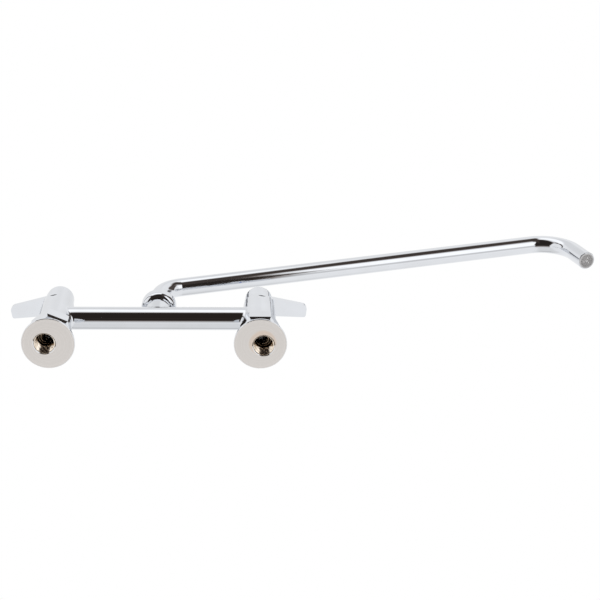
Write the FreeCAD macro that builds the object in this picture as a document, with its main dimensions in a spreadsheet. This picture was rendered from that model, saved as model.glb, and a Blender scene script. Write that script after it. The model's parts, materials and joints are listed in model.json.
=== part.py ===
"""Deck mount faucet: two lever valves joined by a bridge tube that carries a long swinging spout.

Millimetres. The origin lies midway between the two valve columns, on the swing axis of the spout and in the
plane of the flange faces. Z points up, X runs along the inlets towards the cold side, and the user
stands at -Y.
"""
import FreeCAD
import Part
import math
import os
import re
import Sketcher

# Driving dimensions: alias and value, one row of the sheet each
DIMENSIONS = (
    # Layout
    ("inlet_centres", 203.2),
    ("running_gap", 0.08),
    ("thread_gap", 0.05),
    ("seat_gap", 0.05),
    # Eccentric inlet flange
    ("flange_radius", 25.7),
    ("flange_edge", 0.45),
    ("flange_band", 1.5),
    ("flange_dome", 3.2),
    ("flange_neck_wall", 2.2),
    ("flange_neck_gap", 0.5),
    ("inlet_radius", 10.4),
    ("inlet_depth", 17.0),
    ("inlet_roof", 3.0),
    ("inlet_offset", 3.6),
    ("inlet_chamfer", 0.7),
    ("left_flange_turn", 3.0),
    ("right_flange_turn", 26.0),
    ("spigot_step", 2.6),
    ("spigot_wall", 3.1),
    ("spigot_tail", 1.9),
    # Union between flange and valve body
    ("nut_wall", 4.75),
    ("nut_height", 19.5),
    ("nut_lip", 4.2),
    ("nut_foot_height", 3.2),
    ("nut_foot_rise", 1.5),
    ("nut_foot_angle", 35.0),
    ("nut_corner_angle", 30.0),
    ("left_nut_turn", 23.0),
    ("clip_thickness", 1.5),
    ("clip_depth", 1.2),
    ("clip_width", 2.8),
    ("clip_slit", 3.0),
    ("clip_play", 0.3),
    ("washer_thickness", 2.0),
    ("washer_width", 5.55),
    # Valve body
    ("cartridge_bore", 10.5),
    ("bonnet_thread_wall", 3.1),
    ("bonnet_thread_length", 8.0),
    ("body_shoulder", 2.8),
    ("inlet_shoulder", 2.8),
    ("body_base_gap", 0.5),
    ("body_edge", 0.8),
    ("body_foot_land", 12.9),
    ("body_top_land", 4.6),
    ("waterway_radius", 7.5),
    ("seat_drop", 12.9),
    ("seat_radius", 6.6),
    ("seat_land", 3.0),
    ("boss_length", 4.6),
    ("boss_fillet", 4.2),
    ("bridge_spigot", 7.0),
    ("port_wall", 3.45),
    # Ceramic cartridge
    ("seal_height", 2.4),
    ("seal_width", 2.4),
    ("disc_side_gap", 0.2),
    ("disc_thickness", 3.6),
    ("port_core", 2.4),
    ("disc_port_land", 1.8),
    ("disc_port_angle", 76.0),
    ("disc_gap", 0.05),
    ("drive_width", 5.0),
    ("drive_slot", 1.3),
    ("drive_height", 3.6),
    ("drive_inset", 0.4),
    ("housing_wall_gap", 0.2),
    ("housing_wall", 1.5),
    ("housing_flange", 2.5),
    ("housing_flange_inset", 0.7),
    ("housing_neck_wall", 2.42),
    ("housing_neck_sink", 1.0),
    ("window_lift", 1.35),
    ("window_width", 9.0),
    ("window_height", 5.5),
    ("roof_land", 2.0),
    ("housing_ring_drop", 2.0),
    ("housing_ring_section", 0.85),
    ("stem_radius", 4.5),
    ("stem_ring_drop", 1.5),
    ("stem_ring_section", 0.5),
    ("stem_clip_thickness", 0.8),
    ("stem_clip_lip", 1.7),
    ("stem_clip_slit", 5.0),
    ("screw_radius", 2.0),
    ("screw_length", 11.0),
    ("screw_head_radius", 3.6),
    ("screw_head_height", 2.4),
    ("screw_recess_depth", 1.4),
    ("screw_recess_span", 3.8),
    ("screw_recess_width", 0.9),
    # Bonnet
    ("bonnet_wall", 2.3),
    ("bonnet_web", 5.5),
    ("bonnet_edge", 2.0),
    ("bonnet_flat_depth", 0.45),
    ("bonnet_collar", 7.8),
    ("left_bonnet_turn", 13.0),
    ("right_bonnet_turn", 10.0),
    # Lever handle
    ("handle_gap", 1.0),
    ("hub_radius", 13.9),
    ("hub_height", 24.6),
    ("hub_edge", 6.0),
    ("collar_step", 0.6),
    ("collar_height", 14.0),
    ("collar_edge", 0.4),
    ("skirt_wall", 1.8),
    ("skirt_depth", 3.0),
    ("socket_gap", 0.05),
    ("socket_roof", 3.4),
    ("button_head_gap", 1.5),
    ("button_head_room", 1.75),
    ("button_rim", 1.6),
    ("button_thickness", 2.2),
    ("button_rise", 0.5),
    ("button_edge", 0.8),
    ("lever_reach", 49.0),
    ("lever_root", 8.0),
    ("lever_root_width", 19.2),
    ("lever_tip_width", 13.2),
    ("lever_lift", 0.8),
    ("lever_root_thickness", 8.6),
    ("lever_tip_thickness", 5.4),
    ("lever_tip_rise", 1.2),
    ("lever_front_corner", 5.6),
    ("lever_back_corner", 2.4),
    ("lever_edge", 0.8),
    ("left_lever_turn", 10.0),
    ("right_lever_turn", 6.8),
    # Bridge and spout socket
    ("bridge_radius", 11.5),
    ("bridge_wall", 1.5),
    ("waterway_land", 2.0),
    ("boss_wall", 1.8),
    ("boss_foot", 2.0),
    ("boss_foot_step", 0.4),
    ("boss_taper", 13.0),
    ("boss_floor_wall", 1.2),
    ("boss_socket_depth", 16.4),
    # Swivel
    ("sleeve_wall", 1.97),
    ("sleeve_flange", 2.0),
    ("sleeve_flange_inset", 0.4),
    ("sleeve_foot_gap", 0.5),
    ("swivel_wall", 4.25),
    ("swivel_thread_length", 7.0),
    ("swivel_web", 3.34),
    ("swivel_foot_rise", 1.4),
    ("swivel_lower_edge", 5.0),
    ("swivel_upper_edge", 1.6),
    ("swivel_hole_gap", 0.3),
    ("thrust_thickness", 1.0),
    ("slip_thickness", 0.5),
    ("spout_ring_section", 0.7),
    ("spout_ring_foot", 4.9),
    ("spout_ring_spacing", 6.0),
    ("ring_play", 0.05),
    # Spout
    ("spout_radius", 9.5),
    ("spout_wall", 1.2),
    ("spout_rim", 0.9),
    ("spout_swing", 1.9),
    ("spout_knee_rise", 50.6),
    ("spout_rise", 15.0),
    ("spout_knee_bend", 27.0),
    ("spout_reach", 459.0),
    ("spout_leg", 68.0),
    ("spout_end_bend", 36.0),
    # Outlet insert
    ("outlet_flange", 0.5),
    ("outlet_flange_inset", 1.1),
    ("outlet_edge", 0.25),
    ("outlet_length", 11.0),
    ("outlet_wall", 1.1),
    ("screen_thickness", 1.0),
    ("screen_recess", 0.5),
    ("screen_hole", 0.45),
    ("screen_rim", 1.4),
    ("gasket_thickness", 1.6),
    ("gasket_width", 2.0),
)

# Sizes that follow from the driving dimensions, and from each other
FOLLOWING = {
    # Radii of the column, from the cartridge outwards
    "bonnet_thread_radius": "cartridge_bore + bonnet_thread_wall",
    "bonnet_radius": "bonnet_thread_radius + thread_gap + bonnet_wall",
    "bonnet_flats": "2 * (bonnet_radius - bonnet_flat_depth)",
    "body_radius": "bonnet_thread_radius + body_shoulder",
    "inlet_thread_radius": "body_radius - inlet_shoulder",
    "nut_flats": "2 * (inlet_thread_radius + thread_gap + nut_wall)",
    "nut_corner": "nut_flats / sqrt(3) + seat_gap",
    "nut_corner_rise": "(nut_corner - nut_flats / 2) * tan(nut_corner_angle)",
    "washer_bore": "inlet_thread_radius - seat_gap - washer_width",
    "spigot_radius": "inlet_thread_radius - spigot_step",
    "spigot_groove": "spigot_radius - clip_depth",
    "spigot_bore": "spigot_groove - spigot_wall",
    "flange_neck_radius": "inlet_radius + inlet_offset + flange_neck_wall",
    "housing_radius": "cartridge_bore - housing_wall_gap",
    "housing_inside": "housing_radius - housing_wall",
    "housing_flange_radius": "bonnet_thread_radius - housing_flange_inset",
    "housing_neck_radius": "stem_radius + running_gap + housing_neck_wall",
    "disc_radius": "housing_inside - disc_side_gap",
    "disc_port_radius": "disc_radius - disc_port_land",
    "stem_groove": "stem_radius - clip_depth",
    "stem_clip_radius": "stem_radius + stem_clip_lip",
    "stem_square": "stem_radius * sqrt(2)",
    "collar_radius": "hub_radius + collar_step",
    "button_pocket_radius": "screw_head_radius + button_head_room + button_rim + seat_gap",
    # Heights of the column, from the deck up
    "flange_rim": "2 * flange_edge + flange_band",
    "neck_top": "inlet_depth + inlet_roof",
    "nut_base": "neck_top + flange_neck_gap",
    "lip_top": "nut_base + nut_lip",
    "nut_foot_top": "nut_base + nut_foot_height",
    "nut_top": "nut_base + nut_height",
    "clip_base": "lip_top + clip_play",
    "clip_top": "clip_base + clip_thickness",
    "spigot_top": "clip_top + spigot_tail",
    "washer_base": "spigot_top + running_gap",
    "shank_base": "washer_base + washer_thickness",
    "body_base": "nut_top + body_base_gap",
    "bridge_height": "body_base + body_foot_land + bridge_radius",
    "body_top": "bridge_height + bridge_radius + body_top_land",
    "thread_top": "body_top + bonnet_thread_length",
    "seat_height": "bridge_height - seat_drop",
    "fixed_base": "seat_height + seal_height",
    "moving_base": "fixed_base + disc_thickness + disc_gap",
    "moving_top": "moving_base + disc_thickness",
    "drive_base": "moving_top - drive_slot",
    "window_base": "moving_top + window_lift",
    "housing_roof": "window_base + window_height + roof_land",
    "housing_ring_height": "body_top - housing_ring_drop",
    "housing_flange_top": "thread_top + housing_flange",
    "stem_ring_height": "housing_flange_top - stem_ring_drop",
    "bonnet_top": "housing_flange_top + bonnet_web",
    "housing_neck_top": "bonnet_top - housing_neck_sink",
    "stem_clip_base": "housing_neck_top + clip_play",
    "stem_clip_top": "stem_clip_base + stem_clip_thickness",
    "collar_base": "bonnet_top + handle_gap",
    "collar_top": "collar_base + collar_height",
    "lever_base": "collar_base + lever_lift",
    "socket_base": "collar_base + skirt_depth",
    "hub_top": "collar_base + hub_height",
    "button_top": "hub_top + button_rise",
    "button_under": "button_top - button_thickness",
    "pocket_floor": "button_under - button_head_gap - screw_head_height",
    "stem_top": "pocket_floor - socket_roof",
    "stem_square_length": "stem_top - socket_base",
    # Bridge, and the swivel from the spout outwards and from the bridge up
    "boss_reach": "body_radius + boss_length",
    "bridge_half": "inlet_centres / 2 - boss_reach",
    "bridge_bore": "bridge_radius - bridge_wall",
    "port_radius": "bridge_bore - seat_gap - port_wall",
    "boss_waterway": "bridge_bore - waterway_land",
    "spout_bore": "spout_radius - spout_wall",
    "sleeve_radius": "spout_radius + seat_gap + sleeve_wall",
    "sleeve_bore": "sleeve_radius + running_gap",
    "boss_radius": "sleeve_bore + boss_wall",
    "sleeve_flange_radius": "boss_radius - sleeve_flange_inset",
    "swivel_radius": "boss_radius + thread_gap + swivel_wall",
    "boss_floor": "bridge_height + bridge_radius + boss_floor_wall",
    "boss_top": "boss_floor + boss_socket_depth",
    "sleeve_foot": "boss_floor + sleeve_foot_gap",
    "spout_ring_lower": "boss_floor + spout_ring_foot",
    "spout_ring_upper": "spout_ring_lower + spout_ring_spacing",
    "sleeve_flange_base": "boss_top + thrust_thickness + running_gap",
    "sleeve_top": "sleeve_flange_base + sleeve_flange",
    "slip_base": "sleeve_top + running_gap",
    "web_base": "slip_base + slip_thickness",
    "swivel_base": "boss_top - swivel_thread_length",
    "swivel_top": "web_base + swivel_web",
    # Centre line of the spout in its own plane, and the insert in its outlet
    "spout_knee_height": "boss_top + spout_knee_rise",
    "knee_trim": "spout_knee_bend * tan((90 - spout_rise) / 2)",
    "corner_x": "spout_reach - spout_leg * sin(spout_rise)",
    "corner_z": "spout_knee_height + corner_x * tan(spout_rise)",
    "tube_end": "spout_leg - outlet_flange",
    "outlet_radius": "spout_bore - seat_gap",
    "outlet_inside": "outlet_radius - outlet_wall",
    "screen_radius": "outlet_inside - seat_gap",
    "screen_ring_step": "(screen_radius - screen_rim) / 3",
}

# How close a measured edge has to lie to the size that is looked for
NEAR = 1e-4

document = FreeCAD.newDocument("faucet")
sheet = document.addObject("Spreadsheet::Sheet", "Sizes")
for row, (alias, number) in enumerate(DIMENSIONS, 1):
    sheet.set("A%d" % row, alias.replace("_", " "))
    sheet.set("B%d" % row, str(number))
    sheet.setAlias("B%d" % row, alias)
document.recompute()

# Every finished sub-part, in the order it is made
pieces = []


def spelled(expression):
    """The same expression in driving dimensions alone."""
    def spell(found):
        word = found.group()
        return "(%s)" % spelled(FOLLOWING[word]) if word in FOLLOWING else word
    return re.sub(r"\b[a-z]\w*\b", spell, expression)


def value(expression):
    """Number that an expression in the sheet's words gives now."""
    return float(sheet.evalExpression(spelled(expression)))


def bound(expression):
    """The same expression as the other objects of the document write it."""
    return re.sub(r"\b([a-z]\w*)\b(?!\()", r"Sizes.\1", spelled(expression))


def bind(target, **sizes):
    """Tie properties of an object to expressions."""
    for name, expression in sizes.items():
        target.setExpression(name, bound(expression))


def place(target, x="0", y="0", z="0", turn="0"):
    """Tie an object's place to expressions, with a turn about Z."""
    spot = "vector(%s; %s; %s)" % (bound(x), bound(y), bound(z))
    target.setExpression("Placement", "placement(%s; rotation(vector(0; 0; 1); %s))" % (spot, bound(turn)))


def piece(target, label):
    """Name a finished sub-part and keep it for the export."""
    target.Label = label
    pieces.append(target)
    return target


def new_body(label):
    """Empty body whose label names its file."""
    return piece(document.addObject("PartDesign::Body", label + "_body"), label)


def new_sketch(body, name, plane="XZ_Plane", offset=None):
    """Sketch on one of the body's own origin planes, moved along the plane's normal by offset."""
    sketch = body.newObject("Sketcher::SketchObject", body.Label + "_" + name)
    support = [feature for feature in body.Origin.OriginFeatures if feature.Role == plane]
    sketch.AttachmentSupport = [(support[0], "")]
    sketch.MapMode = "FlatFace"
    if offset:
        sketch.setExpression("AttachmentOffset.Base.z", bound(offset))
    return sketch


def hold(sketch, kind, axis, geometry, point, expression):
    """Tie one coordinate of a sketch point to an expression."""
    if expression == "0":
        sketch.addConstraint(Sketcher.Constraint("PointOnObject", geometry, point, axis))
        return
    rule = Sketcher.Constraint(kind, -1, 1, geometry, point, value(expression))
    sketch.setExpression("Constraints[%d]" % sketch.addConstraint(rule), bound(expression))


def hold_point(sketch, geometry, point, across, along):
    """Tie both coordinates of a sketch point to expressions."""
    hold(sketch, "DistanceX", -2, geometry, point, across)
    hold(sketch, "DistanceY", -1, geometry, point, along)


def outline(sketch, points):
    """Closed run of straight sides through points given as pairs of expressions."""
    spots = [FreeCAD.Vector(value(x), value(y), 0) for x, y in points]
    first = sketch.GeometryCount
    count = len(points)
    for i in range(count):
        sketch.addGeometry(Part.LineSegment(spots[i], spots[(i + 1) % count]))
    for i in range(count):
        sketch.addConstraint(Sketcher.Constraint("Coincident", first + i, 2, first + (i + 1) % count, 1))
        hold_point(sketch, first + i, 1, *points[i])


def hexagon(sketch, flats):
    """Hexagon about the origin with its size over the flats tied to an expression."""
    corner = "(%s) / sqrt(3)" % flats
    outline(sketch, [("%s * cos(%d)" % (corner, turn), "%s * sin(%d)" % (corner, turn))
                     for turn in range(0, 360, 60)])


def circle(sketch, radius, across="0", along="0"):
    """Circle with its centre and radius tied to expressions."""
    centre = FreeCAD.Vector(value(across), value(along), 0)
    number = sketch.addGeometry(Part.Circle(centre, FreeCAD.Vector(0, 0, 1), value(radius)))
    rule = sketch.addConstraint(Sketcher.Constraint("Radius", number, value(radius)))
    sketch.setExpression("Constraints[%d]" % rule, bound(radius))
    hold_point(sketch, number, 3, across, along)


def feature(body, kind, name, sketch, **sizes):
    """Sketch based feature of a body, with its sizes tied to expressions."""
    made = body.newObject("PartDesign::" + kind, body.Label + "_" + name)
    made.Profile = sketch
    bind(made, **sizes)
    return made


def settle(body):
    """Bring the document up to date and return the body's volume."""
    document.recompute()
    return body.Shape.Volume


def check_cut(body, before, made):
    """Stop if a pocket or groove took no material away."""
    if settle(body) > before - NEAR:
        raise RuntimeError("%s cuts nothing" % made.Name)
    return made


def pocket(body, name, sketch, length, along_normal=False, both_ways=False):
    """Pocket from a sketch, against its normal unless another way is asked for."""
    before = settle(body)
    made = feature(body, "Pocket", name, sketch, Length=length)
    made.Reversed = along_normal
    if both_ways:
        made.SideType = "Symmetric"
    return check_cut(body, before, made)


def turned(body, name, points):
    """Solid of revolution about the body's Z axis from radius and height pairs."""
    sketch = new_sketch(body, name + "_profile")
    outline(sketch, points)
    made = feature(body, "Revolution", name, sketch)
    made.ReferenceAxis = (sketch, ["V_Axis"])
    made.Angle = 360
    settle(body)
    return made


def bored(body, name, points):
    """Turned recess about the body's Z axis from radius and height pairs."""
    before = settle(body)
    sketch = new_sketch(body, name + "_profile")
    outline(sketch, points)
    made = feature(body, "Groove", name, sketch)
    made.ReferenceAxis = (sketch, ["V_Axis"])
    made.Angle = 360
    return check_cut(body, before, made)


def rings_at(shaped, radius, height):
    """Names of the circles about the body's axis that have this radius and height."""
    names = []
    for number, edge in enumerate(shaped.Shape.Edges, 1):
        if not isinstance(edge.Curve, Part.Circle):
            continue
        if abs(edge.Curve.Radius - value(radius)) > NEAR:
            continue
        if abs(edge.Curve.Center.z - value(height)) < NEAR:
            names.append("Edge%d" % number)
    return names


def dressed(body, kind, name, shaped, edges, **sizes):
    """Fillet or chamfer on named edges of the body's last feature."""
    made = body.newObject("PartDesign::" + kind, body.Label + "_" + name)
    made.Base = (shaped, edges)
    bind(made, **sizes)
    settle(body)
    return made


def cut(name, base, tool):
    """One solid cut from another."""
    made = document.addObject("Part::Cut", name)
    made.Base = base
    made.Tool = tool
    return made


def ring(label, inner, outer, height):
    """Plain flat ring about Z, made as one cylinder cut from another."""
    rim = document.addObject("Part::Cylinder", label + "_rim")
    hole = document.addObject("Part::Cylinder", label + "_hole")
    bind(rim, Radius=outer, Height=height)
    bind(hole, Radius=inner, Height=height)
    return piece(cut(label + "_ring", rim, hole), label)


def round_ring(label, middle, section):
    """Rubber ring of round section about Z."""
    made = document.addObject("Part::Torus", label + "_torus")
    bind(made, Radius1=middle, Radius2=section)
    return piece(made, label)


class Side:
    """One valve column: its name, its place on X and the turns of its loose pieces at rest."""

    def __init__(self, name, sign):
        self.name = name
        self.sign = sign
        self.x = "%d * inlet_centres / 2" % sign
        # The right column is the left one turned half round, so that its bridge boss faces the middle
        self.facing = "0" if sign < 0 else "180"
        self.flange_turn = "180 - left_flange_turn" if sign < 0 else "right_flange_turn"
        self.nut_turn = "left_nut_turn" if sign < 0 else "0"
        self.bonnet_turn = "-left_bonnet_turn" if sign < 0 else "right_bonnet_turn"
        self.lever_turn = "180 - left_lever_turn" if sign < 0 else "right_lever_turn"

    def label(self, word):
        """Label of this column's own copy of a piece."""
        return "%s_%s" % (self.name, word)

    def stand(self, target, turn="0", z="0"):
        """Put a piece on the column's axis."""
        place(target, x=self.x, turn=turn, z=z)


def inlet_flange(side):
    """Round foot with a domed back, a neck, a spigot for the union and an off-centre inlet."""
    body = new_body(side.label("inlet_flange"))
    shape = turned(body, "foot", [
        ("0", "0"),
        ("flange_radius", "0"),
        ("flange_radius", "flange_rim"),
        ("flange_neck_radius", "flange_rim + flange_dome"),
        ("flange_neck_radius", "neck_top"),
        ("spigot_radius", "neck_top"),
        ("spigot_radius", "clip_base"),
        ("spigot_groove", "clip_base"),
        ("spigot_groove", "clip_top"),
        ("spigot_radius", "clip_top"),
        ("spigot_radius", "spigot_top"),
        ("spigot_bore", "spigot_top"),
        ("spigot_bore", "inlet_depth"),
        ("0", "inlet_depth")])
    shape = dressed(body, "Chamfer", "face_edge", shape, rings_at(shape, "flange_radius", "0"),
                    Size="flange_edge")
    shape = dressed(body, "Fillet", "rim_edge", shape, rings_at(shape, "flange_radius", "flange_rim"),
                    Radius="flange_edge")
    sketch = new_sketch(body, "inlet_circle", "XY_Plane")
    circle(sketch, "inlet_radius", across="inlet_offset")
    shape = pocket(body, "inlet", sketch, "inlet_depth", along_normal=True)
    dressed(body, "Chamfer", "inlet_mouth", shape, rings_at(shape, "inlet_radius", "0"),
            Size="inlet_chamfer")
    side.stand(body, side.flange_turn)


def retaining_ring(side):
    """Split ring in the spigot's groove that keeps the coupling nut on the flange."""
    body = new_body(side.label("retaining_ring"))
    inner = "spigot_groove + seat_gap"
    turned(body, "wire", [
        (inner, "clip_base + seat_gap"),
        (inner + " + clip_width", "clip_base + seat_gap"),
        (inner + " + clip_width", "clip_top - seat_gap"),
        (inner, "clip_top - seat_gap")])
    slit(body, "spigot_radius", "clip_slit", "clip_base", "clip_thickness", "clip_width")
    side.stand(body, side.flange_turn)


def slit(body, radius, width, base, height, reach):
    """Gap through a split ring on its +X side."""
    sketch = new_sketch(body, "slit_outline", "XY_Plane", base)
    near = "%s - 2 * %s" % (radius, reach)
    far = "%s + 2 * %s" % (radius, reach)
    half = "%s / 2" % width
    outline(sketch, [(near, "-" + half), (far, "-" + half), (far, half), (near, half)])
    pocket(body, "slit", sketch, height, along_normal=True)


def coupling_nut(side):
    """Hexagon union nut with an inner lip, a bevel under each flat, a round foot and trimmed top corners."""
    body = new_body(side.label("coupling_nut"))
    sketch = new_sketch(body, "hexagon", "XY_Plane", "nut_foot_top + nut_foot_rise")
    hexagon(sketch, "nut_flats")
    feature(body, "Pad", "block", sketch, Length="nut_top - nut_foot_top - nut_foot_rise")
    bevel = feature(body, "Pad", "bevel", sketch, Length="nut_foot_rise", TaperAngle="nut_foot_angle - 90")
    bevel.Reversed = True
    sketch = new_sketch(body, "foot_circle", "XY_Plane", "nut_base")
    circle(sketch, "nut_flats / 2 - nut_foot_rise / tan(nut_foot_angle)")
    feature(body, "Pad", "foot", sketch, Length="nut_foot_height")
    settle(body)
    lip_hole = "spigot_radius + running_gap"
    thread = "inlet_thread_radius + thread_gap"
    bored(body, "thread", [
        ("0", "nut_base"),
        (lip_hole, "nut_base"),
        (lip_hole, "lip_top"),
        (thread, "lip_top"),
        (thread, "nut_top"),
        ("0", "nut_top")])
    bored(body, "corners", [
        ("nut_flats / 2", "nut_top"),
        ("nut_corner", "nut_top - nut_corner_rise"),
        ("nut_corner", "nut_top")])
    side.stand(body, side.nut_turn)


def valve_body(side):
    """Turned column with a side boss for the bridge, inlet and bonnet threads and the cartridge bore."""
    body = new_body(side.label("valve_body"))
    shape = turned(body, "column", [
        ("0", "shank_base"),
        ("inlet_thread_radius", "shank_base"),
        ("inlet_thread_radius", "body_base"),
        ("body_radius", "body_base"),
        ("body_radius", "body_top"),
        ("bonnet_thread_radius", "body_top"),
        ("bonnet_thread_radius", "thread_top"),
        ("0", "thread_top")])
    shape = dressed(body, "Chamfer", "base_edge", shape, rings_at(shape, "body_radius", "body_base"),
                    Size="body_edge")
    sketch = new_sketch(body, "boss_circle", "YZ_Plane")
    circle(sketch, "bridge_radius", along="bridge_height")
    shape = feature(body, "Pad", "boss", sketch, Length="boss_reach")
    settle(body)
    seams = [number for number, edge in enumerate(shape.Shape.Edges, 1)
             if not isinstance(edge.Curve, (Part.Line, Part.Circle))]
    dressed(body, "Fillet", "boss_root", shape, ["Edge%d" % number for number in seams],
            Radius="boss_fillet")
    sketch = new_sketch(body, "spigot_circle", "YZ_Plane", "boss_reach")
    circle(sketch, "bridge_bore - seat_gap", along="bridge_height")
    feature(body, "Pad", "spigot", sketch, Length="bridge_spigot")
    settle(body)
    bored(body, "bore", [
        ("0", "shank_base"),
        ("waterway_radius", "shank_base"),
        ("waterway_radius", "seat_height - seat_land"),
        ("seat_radius", "seat_height - seat_land"),
        ("seat_radius", "seat_height"),
        ("cartridge_bore", "seat_height"),
        ("cartridge_bore", "thread_top"),
        ("0", "thread_top")])
    sketch = new_sketch(body, "port_circle", "YZ_Plane")
    circle(sketch, "port_radius", along="bridge_height")
    pocket(body, "port", sketch, "boss_reach + bridge_spigot", along_normal=True)
    side.stand(body, side.facing)


def ceramic_disc(side, word, base, turn, slotted):
    """Ceramic disc with two sector ports, and a drive slot across the top of the moving one."""
    label = side.label(word)
    blank = document.addObject("Part::Cylinder", label + "_blank")
    bind(blank, Radius="disc_radius", Height="disc_thickness")
    sectors = []
    for number, middle in enumerate((0, 180)):
        sector = document.addObject("Part::Cylinder", "%s_sector_%d" % (label, number))
        bind(sector, Radius="disc_port_radius", Height="disc_thickness", Angle="disc_port_angle")
        place(sector, turn="%d - disc_port_angle / 2" % middle)
        sectors.append(sector)
    core = document.addObject("Part::Cylinder", label + "_core")
    bind(core, Radius="port_core", Height="disc_thickness")
    pair = document.addObject("Part::MultiFuse", label + "_sectors")
    pair.Shapes = sectors
    ports = cut(label + "_ports", pair, core)
    made = cut(label + "_ported", blank, ports)
    if slotted:
        slot = document.addObject("Part::Box", label + "_slot")
        bind(slot, Length="drive_width", Width="2 * disc_radius", Height="drive_slot")
        place(slot, x="-drive_width / 2", y="-disc_radius", z="disc_thickness - drive_slot")
        made = cut(label + "_slotted", made, slot)
    side.stand(piece(made, label), turn, base)


def cartridge_housing(side):
    """Brass sleeve round the discs with two side windows, a clamping flange and a neck for the stem."""
    body = new_body(side.label("cartridge_housing"))
    groove_radius = "cartridge_bore - 2 * housing_ring_section - 2 * ring_play"
    groove_half = "(housing_ring_section + ring_play)"
    stem_hole = "stem_radius + running_gap"
    turned(body, "sleeve", [
        ("housing_inside", "fixed_base"),
        ("housing_radius", "fixed_base"),
        ("housing_radius", "housing_ring_height - " + groove_half),
        (groove_radius, "housing_ring_height - " + groove_half),
        (groove_radius, "housing_ring_height + " + groove_half),
        ("housing_radius", "housing_ring_height + " + groove_half),
        ("housing_radius", "thread_top"),
        ("housing_flange_radius", "thread_top"),
        ("housing_flange_radius", "housing_flange_top"),
        ("housing_neck_radius", "housing_flange_top"),
        ("housing_neck_radius", "housing_neck_top"),
        (stem_hole, "housing_neck_top"),
        (stem_hole, "housing_roof"),
        ("housing_inside", "housing_roof")])
    sketch = new_sketch(body, "window_outline", "YZ_Plane")
    half = "window_width / 2"
    top = "window_base + window_height"
    outline(sketch, [("-" + half, "window_base"), (half, "window_base"), (half, top), ("-" + half, top)])
    pocket(body, "windows", sketch, "4 * cartridge_bore", both_ways=True)
    side.stand(body, side.facing)


def stem(side):
    """Drive bar, shaft with a seal groove and a clip groove, and a square end tapped for the screw."""
    body = new_body(side.label("stem"))
    groove_radius = "stem_radius - 2 * stem_ring_section + ring_play"
    groove_half = "(stem_ring_section + ring_play)"
    turned(body, "shaft", [
        ("0", "drive_base"),
        ("stem_radius", "drive_base"),
        ("stem_radius", "stem_ring_height - " + groove_half),
        (groove_radius, "stem_ring_height - " + groove_half),
        (groove_radius, "stem_ring_height + " + groove_half),
        ("stem_radius", "stem_ring_height + " + groove_half),
        ("stem_radius", "stem_clip_base"),
        ("stem_groove", "stem_clip_base"),
        ("stem_groove", "stem_clip_top"),
        ("stem_radius", "stem_clip_top"),
        ("stem_radius", "socket_base"),
        ("0", "socket_base")])
    half = "(drive_width / 2 - seat_gap)"
    sketch = new_sketch(body, "drive_outline", "XY_Plane", "drive_base")
    reach = "(disc_radius - drive_inset)"
    outline(sketch, [("-" + half, "-" + reach), (half, "-" + reach), (half, reach), ("-" + half, reach)])
    feature(body, "Pad", "drive_bar", sketch, Length="drive_height")
    sketch = new_sketch(body, "foot_outline", "XY_Plane", "drive_base")
    reach = "(stem_radius + seat_gap)"
    for near, far in ((half, reach), ("-" + half, "-" + reach)):
        outline(sketch, [(near, "-" + reach), (far, "-" + reach), (far, reach), (near, reach)])
    pocket(body, "foot", sketch, "drive_slot", along_normal=True)
    sketch = new_sketch(body, "square_outline", "XY_Plane", "socket_base")
    side_half = "stem_square / 2"
    outline(sketch, [("-" + side_half, "-" + side_half), (side_half, "-" + side_half),
                     (side_half, side_half), ("-" + side_half, side_half)])
    feature(body, "Pad", "square", sketch, Length="stem_square_length")
    settle(body)
    sketch = new_sketch(body, "screw_hole", "XY_Plane", "stem_top")
    circle(sketch, "screw_radius + thread_gap")
    pocket(body, "tapping", sketch, "screw_length")
    side.stand(body, side.lever_turn)


def stem_clip(side):
    """Split clip that keeps the stem from dropping into the housing."""
    body = new_body(side.label("stem_clip"))
    inner = "stem_groove + seat_gap"
    base = "stem_clip_base + seat_gap"
    top = "stem_clip_top - seat_gap"
    outer = "stem_clip_radius"
    turned(body, "wire", [(inner, base), (outer, base), (outer, top), (inner, top)])
    slit(body, "stem_radius", "stem_clip_slit", "stem_clip_base", "stem_clip_thickness", "clip_depth")
    side.stand(body, side.lever_turn)


def bonnet(side):
    """Round cap nut with two wrench flats that clamps the cartridge into the body."""
    body = new_body(side.label("bonnet"))
    thread = "bonnet_thread_radius + thread_gap"
    neck_hole = "housing_neck_radius + seat_gap"
    shape = turned(body, "cap", [
        (thread, "body_top"),
        ("bonnet_radius", "body_top"),
        ("bonnet_radius", "bonnet_top"),
        (neck_hole, "bonnet_top"),
        (neck_hole, "housing_flange_top"),
        (thread, "housing_flange_top")])
    dressed(body, "Fillet", "crown", shape, rings_at(shape, "bonnet_radius", "bonnet_top"),
            Radius="bonnet_edge")
    sketch = new_sketch(body, "flats_outline", "XY_Plane", "body_top")
    for sign in (1, -1):
        flat = "%d * bonnet_flats / 2" % sign
        outside = "%d * (bonnet_radius + seat_gap)" % sign
        outline(sketch, [
            ("-bonnet_radius", flat),
            ("bonnet_radius", flat),
            ("bonnet_radius", outside),
            ("-bonnet_radius", outside)])
    pocket(body, "flats", sketch, "bonnet_top - bonnet_collar - body_top", along_normal=True)
    side.stand(body, side.bonnet_turn)


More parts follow.
